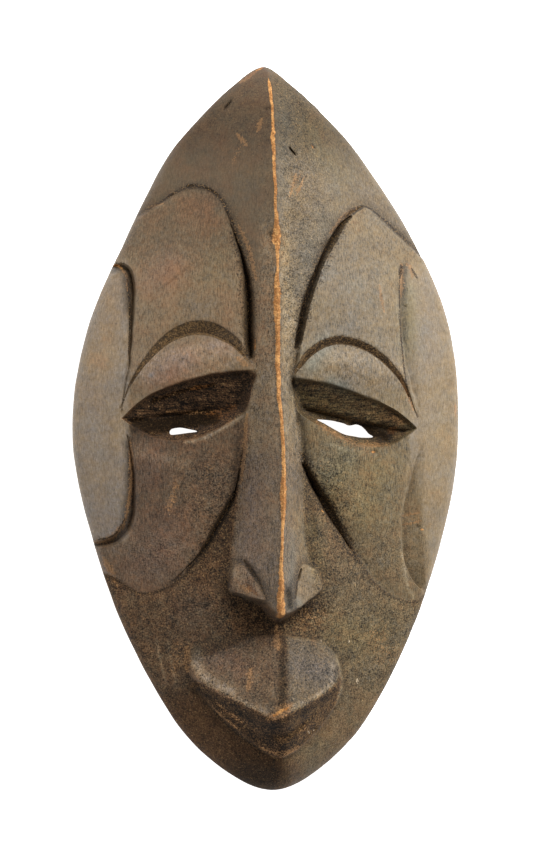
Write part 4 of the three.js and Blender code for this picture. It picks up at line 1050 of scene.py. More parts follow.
class Eye:
    """An eye socket: lids, ledge and slit."""

    def __init__(self, upper, lower, ledge, slit):
        self.upper, self.lower, self.ledge = Line(upper), Line(lower), Line(ledge)
        self.slit = Line(slit, closed=True, steps=4)
        self.edge = self.upper.joined(self.lower)

    def socket(self, x, y):
        """Depth of the socket below the face."""
        depth = np.zeros(x.shape)
        near = self.edge.is_near(x, y, 0)
        near[near] = self.edge.is_inside(x[near], y[near])
        if near.any():
            xs, ys = x[near], y[near]
            from_upper = self.upper.nearest(xs, ys)[0]
            from_lower = self.lower.nearest(xs, ys)[0]
            distance, _, side = self.ledge.nearest(xs, ys)
            upper_wall = LID_STEP * np.minimum(from_upper / LID_STEP_WIDTH, 1) + SOCKET_FALL * from_upper
            upper_wall += LEDGE_DROP * smoothstep(LEDGE_START, LEDGE_END, -side * distance)
            deep = np.maximum(soft_min(upper_wall, LOWER_LID_FALL * from_lower, SOCKET_BLEND), 0)
            corner_x, corner_y = self.lower.points[0]
            depth[near] = deep * smoothstep(0, LID_CORNER, np.hypot(xs - corner_x, ys - corner_y))
        return depth


grooves = {name: Groove(**groove) for name, groove in GROOVES.items()}
eyes = [Eye(**eye) for eye in EYES]


def hollow_outline():
    """The edge of the hollow: the outline drawn in by the width of the rim, further at the two ends."""
    points = []
    for x, y in OUTLINE:
        widening = 1 + END_WIDENING * float(smoothstep(END_START, HALF_HEIGHT, abs(y)))
        length = math.hypot(x / HALF_WIDTH, y / HALF_HEIGHT)
        along_x, along_y = x / HALF_WIDTH / length, y / HALF_HEIGHT / length
        inset = RIM_WIDTH * widening
        points.append((x - inset * along_x * abs(along_x), y - inset * along_y * abs(along_y)))
    return points


hollow_edge = Line(hollow_outline(), closed=True)


# The carved form

def edges_at(y):
    """The left and right edge of the mask at height y."""
    chin = outline.points[:, 1].argmin()
    left = outline.points[:chin + 1][::-1]
    right = np.vstack([outline.points[chin:], outline.points[:1]])
    return np.interp(y, left[:, 1], left[:, 0]), np.interp(y, right[:, 1], right[:, 0])


def swelling(x, y):
    """The plain swelling of the face, before any carving."""
    ridge = ridge_x(y)
    left, right = edges_at(y)
    half_width = np.maximum(np.where(x < ridge, ridge - left, right - ridge), NARROWEST)
    share = np.clip(np.abs(x - ridge) / half_width, 0, 1)
    return RIM_HEIGHT + (crown(y) - RIM_HEIGHT) * (1 - share ** fullness(y))


def away_from_ridge(x, y):
    return np.hypot(x - ridge_x(y), RIDGE_WORN) - RIDGE_WORN


def ridge_planes(x, y):
    """The two planes that meet in the ridge of forehead and nose, cut off below the tip of the nose."""
    fall = np.where(x < ridge_x(y), fall_left(y), fall_right(y))
    under_nose = NOSE_FALL * np.maximum(nose_end_at(x) - y, 0)
    return ridge_z(y) - fall * away_from_ridge(x, y) - under_nose


def panelled(x, y):
    """The face with its raised panels, and how far inside a panel each point is."""
    face = swelling(x, y)
    cut_down = np.zeros(x.shape)
    within = np.full(x.shape, -PANEL_REACH)
    for edge, relief in panels:
        depth = edge.depth(x, y, PANEL_REACH)
        share = np.clip(1 - np.maximum(-depth, 0) / PANEL_REACH, 0, 1)
        cut_down = np.maximum(cut_down, relief(y) * share ** PANEL_SCOOP)
        within = np.maximum(within, depth)
    rounding = cheek_rounding(y) * np.exp(-np.maximum(within, 0) / CHEEK_ROUNDING_REACH)
    on_panel = smoothstep(-PANEL_WALL, PANEL_WALL, within)
    return mix(face - cut_down, face - rounding, on_panel), within


def hollow_roof(x, y):
    """The roof of the hollow: a wall's thickness under the swelling, rounded at the rim."""
    inset = np.maximum(hollow_edge.depth(x, y, 1), 0)
    rise = 1 - np.minimum(inset / HOLLOW_ROUNDING, 1)
    bowl = HOLLOW_STEP + (HOLLOW_DEPTH - HOLLOW_STEP) * np.sqrt(1 - rise * rise)
    return np.maximum(soft_min(bowl, swelling(x, y) - WALL, HOLLOW_BLEND), HOLLOW_STEP)


def upper_lip_roof(x, y, in_lower_lip):
    """The roof of the upper lip, steep at its sides and slanting back under the mouth edge."""
    inside = upper_lip.depth(x, y, LIP_REACH)
    away = away_from_ridge(x, y)
    roof = upper_lip_z(y) - LIP_FALL * away - LIP_CURVE * away * away
    under_mouth = smoothstep(-PANEL_WALL, 1, in_lower_lip)
    fall = mix(LIP_SIDE_FALL, MOUTH_FALL + MOUTH_FALL_GROWTH * away, under_mouth)
    return np.where(inside > -LIP_REACH, roof - fall * np.maximum(-inside, 0), FAR_BELOW), inside


def carved(x, y):
    """The height of the carved face over the plan, and fields that the finish reads."""
    ground, within = panelled(x, y)
    planes = ridge_planes(x, y)
    height = soft_max(ground, planes, ridge_blend(y))
    from_ridge = np.abs(x - ridge_x(y))
    in_wings = np.full(x.shape, -WING_REACH)
    for wing in wings:
        in_wing = wing.depth(x, y, WING_REACH)
        in_wings = np.maximum(in_wings, in_wing)
        facet = WING_HEIGHT - WING_FALL * (from_ridge - WING_REACH)
        height += np.maximum(facet - height, 0) * smoothstep(-WING_FOOT, WING_TOP, in_wing)
    on_lids = np.zeros(x.shape)
    for lid in LIDS:
        u = x - lid["x"]
        v = y - lid["y"] - lid["tilt"] * u
        on_lid = np.exp(-(u / lid["length"]) ** 4 - (v / lid["width"]) ** 2)
        on_lids = np.maximum(on_lids, on_lid)
        height += lid["swell"] * on_lid
    cuts = {}
    for name, groove in grooves.items():
        depth, cuts[name] = groove.cut(x, y)
        height -= depth
    socket = np.zeros(x.shape)
    floor = np.maximum(SOCKET_FLOOR, hollow_roof(x, y) + SOCKET_WEB)
    for eye in eyes:
        depth = eye.socket(x, y)
        height = np.where(depth > 0, np.maximum(height - depth, np.minimum(floor, height)), height)
        socket = np.maximum(socket, depth)
    in_lower = lower_lip.depth(x, y, LIP_REACH)
    rise = np.minimum(LOWER_LIP_RISE * np.maximum(in_lower - PANEL_WALL, 0), LOWER_LIP_MOST)
    height += (LOWER_LIP_STEP + rise) * smoothstep(-PANEL_WALL, PANEL_WALL, in_lower)
    roof, in_upper = upper_lip_roof(x, y, in_lower)
    on_lip = smoothstep(-0.3, 0.3, roof - height)
    height = np.where(in_upper > -LIP_REACH, soft_max(height, roof, LIP_BLEND), height)
    fields = {
        "within": within, "planes": planes - ground, "cuts": cuts, "socket": socket,
        "in_lower": in_lower, "in_upper": in_upper, "on_lip": on_lip, "from_ridge": from_ridge,
        "in_wings": in_wings, "on_lids": on_lids,
    }
    return height, fields


# Knife marks, wear and dirt

def bump(x, y, spot):
    """A soft spot, 1 in its middle: middle X and Y, half length, half width, direction in degrees."""
    middle_x, middle_y, length, width, direction = spot
    turn = math.radians(direction)
    along = (x - middle_x) * math.cos(turn) + (y - middle_y) * math.sin(turn)
    across = (y - middle_y) * math.cos(turn) - (x - middle_x) * math.sin(turn)
    return np.exp(-(along / length) ** 4 - (across / width) ** 2)


def patched(x, y, spots):
    """The strongest of several soft spots at each point."""
    strength = np.zeros(x.shape)
    for *spot, amount in spots:
        strength = np.maximum(strength, amount * bump(x, y, spot))
    return strength


def wander(x, y):
    """How far the knife strayed from the drawn lines, in X and in Y."""
    far = []
    for seed in WANDER_SEEDS:
        rows = [(amount, WANDER_LENGTH / finer, seed + later, 1.0) for amount, finer, later in WANDER_WAVES]
        far.append(WANDER * summed_waves(x, y, rows))
    return far


def before_wander(points):
    """The points that the knife carried to these places on the drawn lines."""
    x, y = points.T
    for _ in range(3):
        sway_x, sway_y = wander(x, y)
        x, y = points[:, 0] - sway_x, points[:, 1] - sway_y
    return np.stack([x, y], 1)


def gouge_cells(x, y):
    """Rows of scooped cuts along the wood, from 0 in the middle of a cut to 1 where two cuts meet."""
    column = x / GOUGE_WIDTH + summed_waves(x, y, GOUGE_SWAY)
    index = np.floor(column).astype(int)
    shift = np.random.default_rng(GOUGE_SEED).uniform(0, 1, GOUGE_COLUMNS)[index % GOUGE_COLUMNS]
    row = y / GOUGE_LENGTH + shift + summed_waves(x, y, GOUGE_SHIFT)
    across = 2 * (column - index) - 1
    along = 2 * (row - np.floor(row)) - 1
    return GOUGE_ROUND * across ** 2 + (1 - GOUGE_ROUND) * along ** 2


def roof(x, y):
    """The ceiling of the hollow with its gouge marks, which leave the wall no thinner."""
    inset = hollow_edge.depth(x, y, 1)
    return hollow_roof(x, y) - GOUGE_DEPTH * gouge_cells(x, y) * smoothstep(0, GOUGE_FADE, inset)


def coarseness(x, y, fields):
    """Where the ground was left rough from the knife, from 0 on the smooth faces to 1."""
    off_panel = 1 - smoothstep(-0.4, 0.2, fields["within"])
    off_nose = 1 - smoothstep(-0.5, 1.5, fields["planes"])
    off_lips = 1 - smoothstep(-1.5, 0.0, np.maximum(fields["in_upper"], fields["in_lower"]))
    by_ridge = smoothstep(0.3, 2, x - ridge_x(y)) * smoothstep(*ROUGH_FOREHEAD_X, x)
    by_panel = smoothstep(-3, -0.4, fields["within"]) * smoothstep(*ROUGH_SEAM_Y, y)
    rough = np.max([
        off_panel * off_nose * smoothstep(*ROUGH_GROUND_Y, y),
        ROUGH_FOREHEAD * by_ridge * smoothstep(*ROUGH_FOREHEAD_Y, y) * off_panel,
        ROUGH_SEAM * by_panel * off_panel,
        patched(x, y, ROUGH_SPOTS) * off_nose,
        ROUGH_NOSE * (1 - off_nose),
    ], axis=0)
    rough = mix(ROUGH_LIPS, rough, off_lips)
    return np.clip(np.maximum(rough, ROUGH_SOCKET * smoothstep(0.3, 1.5, fields["socket"])), 0, 1)


def stroke_cuts():
    """The rows of parallel cuts as single ones, each a little out of line."""
    random = np.random.default_rng(STROKE_SEED)
    cuts = []
    for first, last, count, length, width, direction, deep in STROKES:
        for share in np.linspace(0, 1, count):
            shift = random.uniform(-STROKE_SHIFT, STROKE_SHIFT, 2)
            x, y = mix(np.array(first), np.array(last), share) + shift
            turned = direction + random.uniform(-STROKE_TURN, STROKE_TURN)
            own_length = length * random.uniform(*STROKE_LENGTHS)
            cuts.append((x, y, own_length, width, turned, deep * random.uniform(*STROKE_DEPTHS)))
    return cuts


small_cuts = NICKS + stroke_cuts()


def nick_depth(x, y):
    """The depth of the small cuts, and how far into one each point is."""
    depth, share = np.zeros(x.shape), np.zeros(x.shape)
    for middle_x, middle_y, length, width, direction, deep in small_cuts:
        near = np.hypot(x - middle_x, y - middle_y) < 1.3 * length + 3 * width
        if near.any():
            cut = bump(x[near], y[near], (middle_x, middle_y, 0.5 * length, width, direction))
            depth[near] = np.maximum(depth[near], deep * cut)
            share[near] = np.maximum(share[near], min(deep / DEEP_NICK, 1) * cut)
    return depth, share


def front(x, y):
    """The height of the finished face, with the fields of `carved` and two of its own."""
    sway_x, sway_y = wander(x, y)
    height, fields = carved(x + sway_x, y + sway_y)
    coarse = coarseness(x, y, fields)
    inset = np.clip(outline.depth(x, y, 1), 0, None)
    height += UNEVEN * summed_waves(x, y, UNEVEN_WAVES) * smoothstep(0, UNEVEN_FADE, inset)
    height += ROUGH_HEIGHT * summed_waves(x, y, ROUGH_WAVES) * (ROUGH_LEAST + ROUGH_MORE * coarse)
    streaks = summed_waves(x, y, SOCKET_STREAK_WAVES)
    height += SOCKET_STREAK * streaks * smoothstep(0.8, 2.5, fields["socket"])
    chips = 1.2 + summed_waves(ridge_x(y), y, RIDGE_CHIP_WAVES)
    height -= RIDGE_CHIP * chips * np.exp(-(fields["from_ridge"] / RIDGE_CHIP_WIDTH) ** 2)
    depth, nicked = nick_depth(x, y)
    height -= depth
    gap = RIM_ROUNDING - np.clip(inset, 0, RIM_ROUNDING)
    height += np.sqrt(RIM_ROUNDING ** 2 - gap * gap) - RIM_ROUNDING
    chipped = smoothstep(0.35, 0.9, summed_waves(x, y, RIM_CHIP_WAVES))
    height -= RIM_CHIP * chipped * np.exp(-inset / RIM_CHIP_WIDTH)
    fields.update(coarse=coarse, nicked=nicked)
    return height, fields


# The mesh

class Scatter:
    """Points in the plan, in the order in which they are added, none too close to an earlier one."""

    def __init__(self, cell):
        self.cell = cell
        self.points = []
        self.cells = {}

    def is_clear(self, x, y, closest):
        i, j = int(x // self.cell), int(y // self.cell)
        for column in (i - 1, i, i + 1):
            for row in (j - 1, j, j + 1):
                for px, py in self.cells.get((column, row), ()):
                    if (px - x) ** 2 + (py - y) ** 2 < closest * closest:
                        return False
        return True

    def add(self, more, closest):
        """Adds what is clear and returns the numbers of the points that it added."""
        first = len(self.points)
        for x, y in more:
            if closest == 0 or self.is_clear(x, y, closest):
                self.points.append((x, y))
                self.cells.setdefault((int(x // self.cell), int(y // self.cell)), []).append((x, y))
        return list(range(first, len(self.points)))


def staggered(shape, step, seed):
    """Slightly shaken points in staggered rows that fill the inside of a closed curve."""
    random = np.random.default_rng(seed)
    columns = np.arange(shape.low[0], shape.high[0], step)
    rows = np.arange(shape.low[1], shape.high[1], step * math.sqrt(0.75))
    x, y = np.meshgrid(columns, rows)
    x = x + 0.5 * step * (np.arange(len(rows)) % 2)[:, None]
    points = np.stack([x.ravel(), y.ravel()], 1)
    points += random.uniform(-SHAKE, SHAKE, points.shape) * step
    return points[shape.depth(*points.T, step) > 0.5 * step]


def eye_rows(eye):
    """Rows along both lids, the ledge and the slope down to the slit."""
    inward = -1 if eye.upper.points[0, 0] < 0 else 1
    rows = [eye.edge.stations(LINE_STEP, SOCKET_ROWS)]
    rows.append(eye.upper.stations(LINE_STEP, [inward * row for row in LID_ROWS]))
    rows.append(eye.lower.stations(LINE_STEP, [inward * row for row in LOWER_LID_ROWS]))
    rows.append(eye.ledge.stations(LINE_STEP, LEDGE_ROWS))
    return np.concatenate(rows)


def groove_rows(groove):
    """The bottom and both edges of a cut, with a row half way up each wall."""
    edges = [-1.0, 0.5 * (groove.deepest - 1), groove.deepest, 0.5 * (groove.deepest + 1), 1.0]
    rows = [lambda share, across=across: across * groove.width(share) for across in edges]
    return groove.path.stations(LINE_STEP, rows)


def ridge_rows():
    """The ridge from nose to apex, and the blunt end of the nose."""
    y = np.arange(*RIDGE_SPAN, LINE_STEP)
    rows = [np.stack([ridge_x(y) + offset, y], 1) for offset in RIDGE_ROWS]
    x = np.arange(*NOSE_END_SPAN, LINE_STEP)
    rows += [np.stack([x, nose_end_at(x) - below], 1) for below in NOSE_END_ROWS]
    return np.concatenate(rows)


def front_points():
    """Points of the front in the plan, with the loops round the mask and round each slit."""
    scatter = Scatter(CELL)
    outer = scatter.add(outline.stations(RIM_STEP, [rim_inset]), 0)
    slits = [scatter.add(before_wander(slit_loop(eye)), 0) for eye in eyes]
    scatter.add(outline.stations(RIM_STEP, RIM_ROWS), CLOSEST)
    for cut in small_cuts:
        add_inside(scatter, nick_rows(*cut[:5]))
    walls = (-PANEL_WALL, PANEL_WALL)
    lines = [ridge_rows()]
    lines += [eye_rows(eye) for eye in eyes]
    lines += [groove_rows(groove) for groove in grooves.values()]
    lines.append(lower_lip.stations(LINE_STEP, (*walls, 1.0)))
    lines.append(upper_lip.stations(LINE_STEP, LIP_ROWS))
    for edge, _ in panels:
        seam = [outward(edge) * offset for offset in SEAM_ROWS]
        lines.append(edge.stations(LINE_STEP, (*walls, *seam)))
    lines += [wing.stations(LINE_STEP, (-WING_FOOT, -0.2, WING_TOP)) for wing in wings]
    for line in lines:
        add_inside(scatter, before_wander(line))
    for half_width, _, line in itertools.chain(*mark_lines.values()):
        add_inside(scatter, line.stations(LINE_STEP, (0, -half_width, half_width)))
    scatter.add(staggered(outline, OPEN_STEP, FRONT_SEED), FILL_GAP * OPEN_STEP)
    return np.array(scatter.points), outer, slits


def add_inside(scatter, points):
    """Adds the points that lie within the rim and off the slits."""
    inside = outline.depth(*points.T, 1) > CLOSEST
    for eye in eyes:
        inside &= eye.slit.depth(*points.T, 0.5) < -CLOSEST
    scatter.add(points[inside], CLOSEST)


def nick_rows(x, y, length, width, direction):
    """Rows along one small cut, on its bottom and on both sides."""
    turn = math.radians(direction)
    half = 0.5 * length * np.array([math.cos(turn), math.sin(turn)])
    line = Line([(x - half[0], y - half[1]), (x + half[0], y + half[1])])
    return line.stations(SLIT_STEP, [0, -width, width, -2 * width, 2 * width])


def rim_inset(share):
    """How far the worn edge stands inside the drawn outline, all round."""
    turn = 2 * math.pi * share
    sway = sum(amount * np.sin(count * turn + start) for amount, count, start in RIM_SWAY_WAVES)
    return RIM_INSET + RIM_SWAY * sway


def edge_cuts(share):
    """Small cuts along the hollow's edge, so that no three of its points lie in one line."""
    return EDGE_CUT * (np.arange(len(share)) % 2)


def outward(line):
    """The side of travel on which the outside of a closed line lies: +1 for left."""
    x, y = line.points.T
    return -1 if np.sum(x * np.roll(y, -1) - np.roll(x, -1) * y) > 0 else 1


def slit_loop(eye):
    """The rim of a slit, counter-clockwise."""
    points = eye.slit.stations(SLIT_STEP, [0])
    return points if outward(eye.slit) < 0 else points[::-1]


def triangles_within(points, outer, holes):
    """Triangles over the points inside the outer loop and outside the holes, facing up."""
    loops = [outer, *holes]
    edges = [(a, b) for loop in loops for a, b in zip(loop, loop[1:] + loop[:1])]
    flat = [Vector(point) for point in points]
    corners, _, faces, *_ = delaunay_2d_cdt(flat, edges, [], 1, 1e-7, False)
    if len(corners) != len(points):
        raise RuntimeError("two points of the mesh coincide, or two of its loops cross")
    faces = np.array(faces)
    middle = points[faces].mean(1)
    kept = np.ones(len(faces), bool)
    for hole in holes:
        loop = loop_through(points[hole])
        kept &= ~(loop.is_near(*middle.T, 0) & loop.is_inside(*middle.T))
    between_rim_points = np.isin(faces, outer).all(1)
    kept[between_rim_points] &= loop_through(points[outer]).is_inside(*middle[between_rim_points].T)
    a, b, c = (points[faces[:, i]] for i in range(3))
    doubled_area = np.cross(b - a, c - a)
    kept &= ~between_rim_points | (np.abs(doubled_area) > FLAT_AREA)
    turned = doubled_area < 0
    faces[turned] = faces[turned][:, ::-1]
    return faces[kept]


def strip(upper, lower):
    """Quads between two loops of the same count, the upper one counter-clockwise from outside."""
    after_upper, after_lower = np.roll(upper, -1), np.roll(lower, -1)
    return np.stack([after_upper, upper, lower, after_lower], 1)


class Shell:
    """A mesh in the making: its corners, its faces and the wood of each face."""

    def __init__(self):
        self.corners = []
        self.count = 0
        self.faces = []
        self.woods = []

    def add_corners(self, x_y, z):
        """Adds corners and returns their numbers."""
        self.corners.append(np.column_stack([x_y, z]))
        self.count += len(x_y)
        return np.arange(self.count - len(x_y), self.count)

    def add_faces(self, faces, wood):
        self.faces += faces.tolist()
        self.woods += [wood] * len(faces)


def mask_shell():
    """The closed mask, with the plan of its front, the fields there, and the rest of its faces."""
    points, outer, slits = front_points()
    height, fields = front(*points.T)
    above = np.maximum(roof(*points.T) + THINNEST_WEB, 0)
    in_hollow = hollow_edge.depth(*points.T, 1) > 0
    height = np.where(in_hollow, np.maximum(height, above), height)
    height = soft_min(height, NOSE_HEIGHT - TIP_MARGIN, TIP_BLEND)
    shell = Shell()
    shell.add_corners(points, height)
    shell.add_faces(triangles_within(points, outer, slits), FACE_WOOD)
    side, lowest = add_side(shell, points[outer], height[outer], np.array(outer))
    hollow_rim, inner = add_back_rim(shell, side, lowest)
    add_hollow(shell, points, slits, inner, hollow_rim)
    return shell, points, fields


def add_side(shell, edge, edge_height, upper):
    """The side from the worn edge down to the table. Returns its foot in the plan and its corners."""
    to_centre = 0.5 * (outline.low + outline.high) - edge
    for share, inset in SIDE_LOOPS:
        side = edge + inset * to_centre / np.hypot(*to_centre.T)[:, None]
        lower = shell.add_corners(side, share * edge_height)
        shell.add_faces(strip(upper, lower), FACE_WOOD)
        upper = lower
    return side, upper


def add_back_rim(shell, side, upper):
    """The scraped flat rim behind. Returns its inner corners and their places in the plan."""
    inner = hollow_edge.stations(hollow_edge.length / len(side), [edge_cuts])[:len(side)]
    for share in RIM_LOOPS:
        ring = mix(side, inner, share)
        scraped = SCRAPE * (1 + summed_waves(*ring.T, SCRAPE_WAVES)) * min(1, 4 * (1 - share) + 0.3)
        lower = shell.add_corners(ring, scraped)
        shell.add_faces(strip(upper, lower), HOLLOW_WOOD)
        upper = lower
    return upper, inner


def add_hollow(shell, points, slits, inner, hollow_rim):
    """The scooped hollow, and the walls of the two slits that end in it."""
    scatter = Scatter(HOLLOW_CELL)
    roof_edge = scatter.add(inner, 0)
    roof_slits = [scatter.add(points[slit], 0) for slit in slits]
    scatter.add(hollow_edge.stations(HOLLOW_EDGE_STEP, HOLLOW_EDGE_ROWS), HOLLOW_CLOSEST)
    scatter.add(staggered(hollow_edge, HOLLOW_SPACING, HOLLOW_SEED), FILL_GAP * HOLLOW_SPACING)
    hollow = np.array(scatter.points)
    for eye in eyes:
        kept = eye.slit.depth(*hollow.T, 0.5) < -CLOSEST
        kept[:len(roof_edge) + sum(map(len, roof_slits))] = True
        hollow = hollow[kept]
    first = shell.add_corners(hollow, roof(*hollow.T))[0]
    shell.add_faces(strip(hollow_rim, first + np.array(roof_edge)), HOLLOW_WOOD)
    shell.add_faces(first + triangles_within(hollow, roof_edge, roof_slits)[:, ::-1], HOLLOW_WOOD)
    for slit, below in zip(slits, roof_slits):
        shell.add_faces(strip(np.array(slit[::-1]), first + np.array(below[::-1])), FACE_WOOD)


# Fields of the finish, one value at each corner

def blurred(grid, size):
    """A grid smoothed by a bell of this size, in cells."""
    reach = math.ceil(3 * size)
    bell = np.exp(-0.5 * (np.arange(-reach, reach + 1) / size) ** 2)
    bell /= bell.sum()
    for axis in (0, 1):
        padding = [(reach, reach) if i == axis else (0, 0) for i in (0, 1)]
        padded = np.pad(grid, padding, mode="edge")
        grid = np.apply_along_axis(np.convolve, axis, padded, bell, "valid")
    return grid


def hollowness(x, y):
    """How far the face lies below its surroundings in close range, in millimetres."""
    low, high = outline.low - CAVITY_MARGIN, outline.high + CAVITY_MARGIN
    columns = np.arange(low[0], high[0], CAVITY_STEP)
    rows = np.arange(low[1], high[1], CAVITY_STEP)
    grid_x, grid_y = np.meshgrid(columns, rows)
    flat_x, flat_y = grid_x.ravel(), grid_y.ravel()
    grid = front(flat_x, flat_y)[0]
    slope_out = np.minimum(outline.depth(flat_x, flat_y, CAVITY_MARGIN), 0)
    grid = np.where(slope_out < 0, RIM_HEIGHT + CAVITY_SLOPE * slope_out, grid).reshape(grid_x.shape)
    fall = blurred(grid, CAVITY_RANGE / CAVITY_STEP) - blurred(grid, CAVITY_SMOOTHING)
    u, v = (x - low[0]) / CAVITY_STEP, (y - low[1]) / CAVITY_STEP
    i, j = u.astype(int), v.astype(int)
    lower = mix(fall[j, i], fall[j, i + 1], u - i)
    upper = mix(fall[j + 1, i], fall[j + 1, i + 1], u - i)
    return mix(lower, upper, v - j)


def marked(x, y, kind):
    """Above 0 on the marks of one kind, rising to their strength on the line, and -1 off them."""
    value = np.full(x.shape, -1.0)
    for half_width, strength, line in mark_lines[kind]:
        near = line.is_near(x, y, 3 * half_width)
        if near.any():
            distance, along, _ = line.nearest(x[near], y[near])
            taper = mix(MARK_END, 1, np.sqrt(np.sin(math.pi * np.clip(along, 0.02, 0.98))))
            value[near] = np.maximum(value[near], strength * (1 - distance / (half_width * taper)))
    return value


def soft_lines(x, y, lines):
    """The strongest of several soft lines at each point, fading to both sides."""
    value = np.zeros(x.shape)
    for half_width, strength, line in lines:
        near = line.is_near(x, y, 2.5 * half_width)
        if near.any():
            distance = line.nearest(x[near], y[near])[0]
            value[near] = np.maximum(value[near], strength * np.exp(-(distance / half_width) ** 2))
    return value


def ridge_wear(x, y):
    """Above 0 where the ridge is rubbed to the bare wood."""
    half_width = np.maximum(ridge_bare(y), 0.02)
    sway = summed_waves(0 * x, y, RIDGE_SWAY_WAVES)
    bare = 1 - np.abs(x - ridge_x(y) - sway) / half_width
    bare[(y > RIDGE_BARE_TOP) | (y < nose_end_at(NOSE_TIP_X) - 1)] = -1
    return bare


def part_shares(x, y, fields):
    """How much a point belongs to each part, in the order in which one part covers the other."""
    begun = {part: smoothstep(*places, y) for part, places in PART_Y.items()}
    on_panel = smoothstep(-0.25, 0.15, fields["within"])
    on_ridge = smoothstep(-0.4, 0.4, fields["planes"])
    above_foot = y - np.where(x < 0, *SIDE_FEET)
    side = smoothstep(*SIDE_X, np.abs(x)) * smoothstep(-SIDE_FOOT_BLEND, SIDE_FOOT_BLEND, above_foot)
    under_nose_end = smoothstep(0.1, -0.7, y - nose_end_at(x))
    return {
        "forehead_top": np.ones(x.shape),
        "forehead": begun["forehead"],
        "beside_nose": begun["beside_nose"],
        "lower_face": begun["lower_face"],
        "chin_side": begun["chin_side"],
        "chin": bump(x, y, CHIN_SPOT),
        "under_nose": bump(x, y, UNDER_NOSE_SPOT),
        "ridge": on_ridge * begun["ridge"],
        "nose": on_ridge * begun["nose"],
        "nose_root": on_ridge * begun["nose_root"] * (1 - begun["above_root"]),
        "wings": smoothstep(-0.3, 0.3, fields["in_wings"]),
        "nose_underside": under_nose_end * bump(x, y, NOSE_UNDERSIDE_SPOT),
        "panel_top": on_panel,
        "panel": on_panel * begun["panel"],
        "cheek": on_panel * begun["cheek"],
        "cheek_foot": on_panel * begun["cheek_foot"],
        "lid": on_panel * smoothstep(0.25, 0.6, fields["on_lids"]),
        "side": on_panel * side * begun["side"],
        "jaw_hollow": smoothstep(-1.0, 1.0, jaw_hollow.depth(x, y, 2)),
        "lower_lip": smoothstep(-0.2, 0.3, fields["in_lower"]),
        "upper_lip": smoothstep(-0.3, 0.6, fields["in_upper"]) * fields["on_lip"],
        "socket": smoothstep(0.1, 0.6, fields["socket"]),
    }


def stain(x, y, fields):
    """Lightness, redness, liveliness and gold of the stain, with lines of painted shade and painted
    highlight in the lightness.
    """
    on_right = smoothstep(-0.4, 1.0, x - ridge_x(y))
    tones = np.zeros((4, *x.shape))
    for part, share in part_shares(x, y, fields).items():
        left, right = (np.array(tone)[:, None] for tone in TONES[part])
        tones = mix(tones, mix(left, right, on_right), share)
    shade, redness, lively, gold = tones
    # Soft lines of painted shade and dark stain, then of painted highlight and wear, laid over the
    # lightness.
    shade_and_dark_stain, highlight_and_wear = soft_lines(x, y, painted_shade_and_dark_stain_lines), soft_lines(x, y, painted_highlight_and_wear_lines)
    shade = mix(mix(shade, PAINTED_SHADE_AND_DARK_STAIN_LIGHTNESS, shade_and_dark_stain), HIGHLIGHT_AND_WEAR_SHADE, highlight_and_wear)
    redness = mix(redness, HIGHLIGHT_AND_WEAR_REDNESS, highlight_and_wear)
    reddened = patched(x, y, REDDENED_SPOTS)
    gold = gold + patched(x, y, GOLDEN_SPOTS) - patched(x, y, LILAC_SPOTS)
    return shade * (1 + REDDENED_LIFT * reddened), redness + reddened, lively, gold


def grime_and_shade(y, fields):
    """Old dirt in the low ground round the panels, the nose and the lips; round the nose wings also painted
    shade.
    """
    within, planes, in_wings = fields["within"], fields["planes"], fields["in_wings"]
    by_panel = smoothstep(-2.8, -0.3, within) * smoothstep(0.2, -0.2, within)
    by_panel *= mix(GRIME_BY_TOP, 1.0, smoothstep(*GRIME_TOP_Y, y)) * smoothstep(*GRIME_FOOT_Y, y)
    by_nose = smoothstep(-3.5, -0.3, planes) * smoothstep(*GRIME_NOSE_Y, y)
    by_nose *= GRIME_BY_NOSE * smoothstep(*GRIME_NOSE_END_Y, y)
    off_ridge = 1 - smoothstep(-1.5, 0.3, planes)
    grime_and_shade_by_wings = GRIME_AND_SHADE_BY_WINGS * smoothstep(-2.5, -0.4, in_wings) * smoothstep(0.3, -0.3, in_wings)
    by_lips = GRIME_BY_LIPS * smoothstep(-2.0, -0.2, fields["in_upper"]) * (1 - fields["on_lip"])
    return np.max([by_panel * off_ridge, by_nose * off_ridge, grime_and_shade_by_wings, by_lips], axis=0)


def finish_fields(shell, points, fields):
    """Named values for every corner of the shell; corners behind the face keep plain ones."""
    x, y = points.T
    shade, redness, lively, gold = stain(x, y, fields)
    cuts = fields["cuts"]
    dirt = np.max([amount * cuts[name] for name, amount in GROOVE_DIRT.items()], axis=0)
    seam = np.exp(-((fields["within"] + SEAM_PLACE) / SEAM_WIDTH) ** 2)
    on_front = {
        "shade": shade,
        "redness": redness,
        "lively": lively,
        "gold": gold,
        "greyed": patched(x, y, GREYED_SPOTS),
        "coarse": fields["coarse"],
        "cavity": np.clip(hollowness(x, y) / CAVITY_FULL, 0, 1) * (1 - smoothstep(0, 1, fields["planes"])),
        "dirt": dirt,
        "brow": np.maximum(cuts["left_brow"], cuts["right_brow"]),
        "grime_and_shade": grime_and_shade(y, fields),
        "seam": seam * smoothstep(-0.5, 0.5, -fields["planes"]) * (1 - dirt),
        "socket": smoothstep(0.1, 1.5, fields["socket"]),
        "nicked": fields["nicked"],
        "bare": np.clip(np.maximum(ridge_wear(x, y), marked(x, y, "bare")), -1, 1),
        "ochre": np.maximum(marked(x, y, "ochre"), OCHRE_SPREAD * patched(x, y, OCHRE_SPOTS) - 1),
        "rusty": marked(x, y, "rusty"),
        "dark": marked(x, y, "dark"),
        "pale": marked(x, y, "pale"),
    }
    values = {}
    for name, value in on_front.items():
        values[name] = np.full(shell.count, PLAIN.get(name, 0.0))
        values[name][:len(points)] = value
    return values


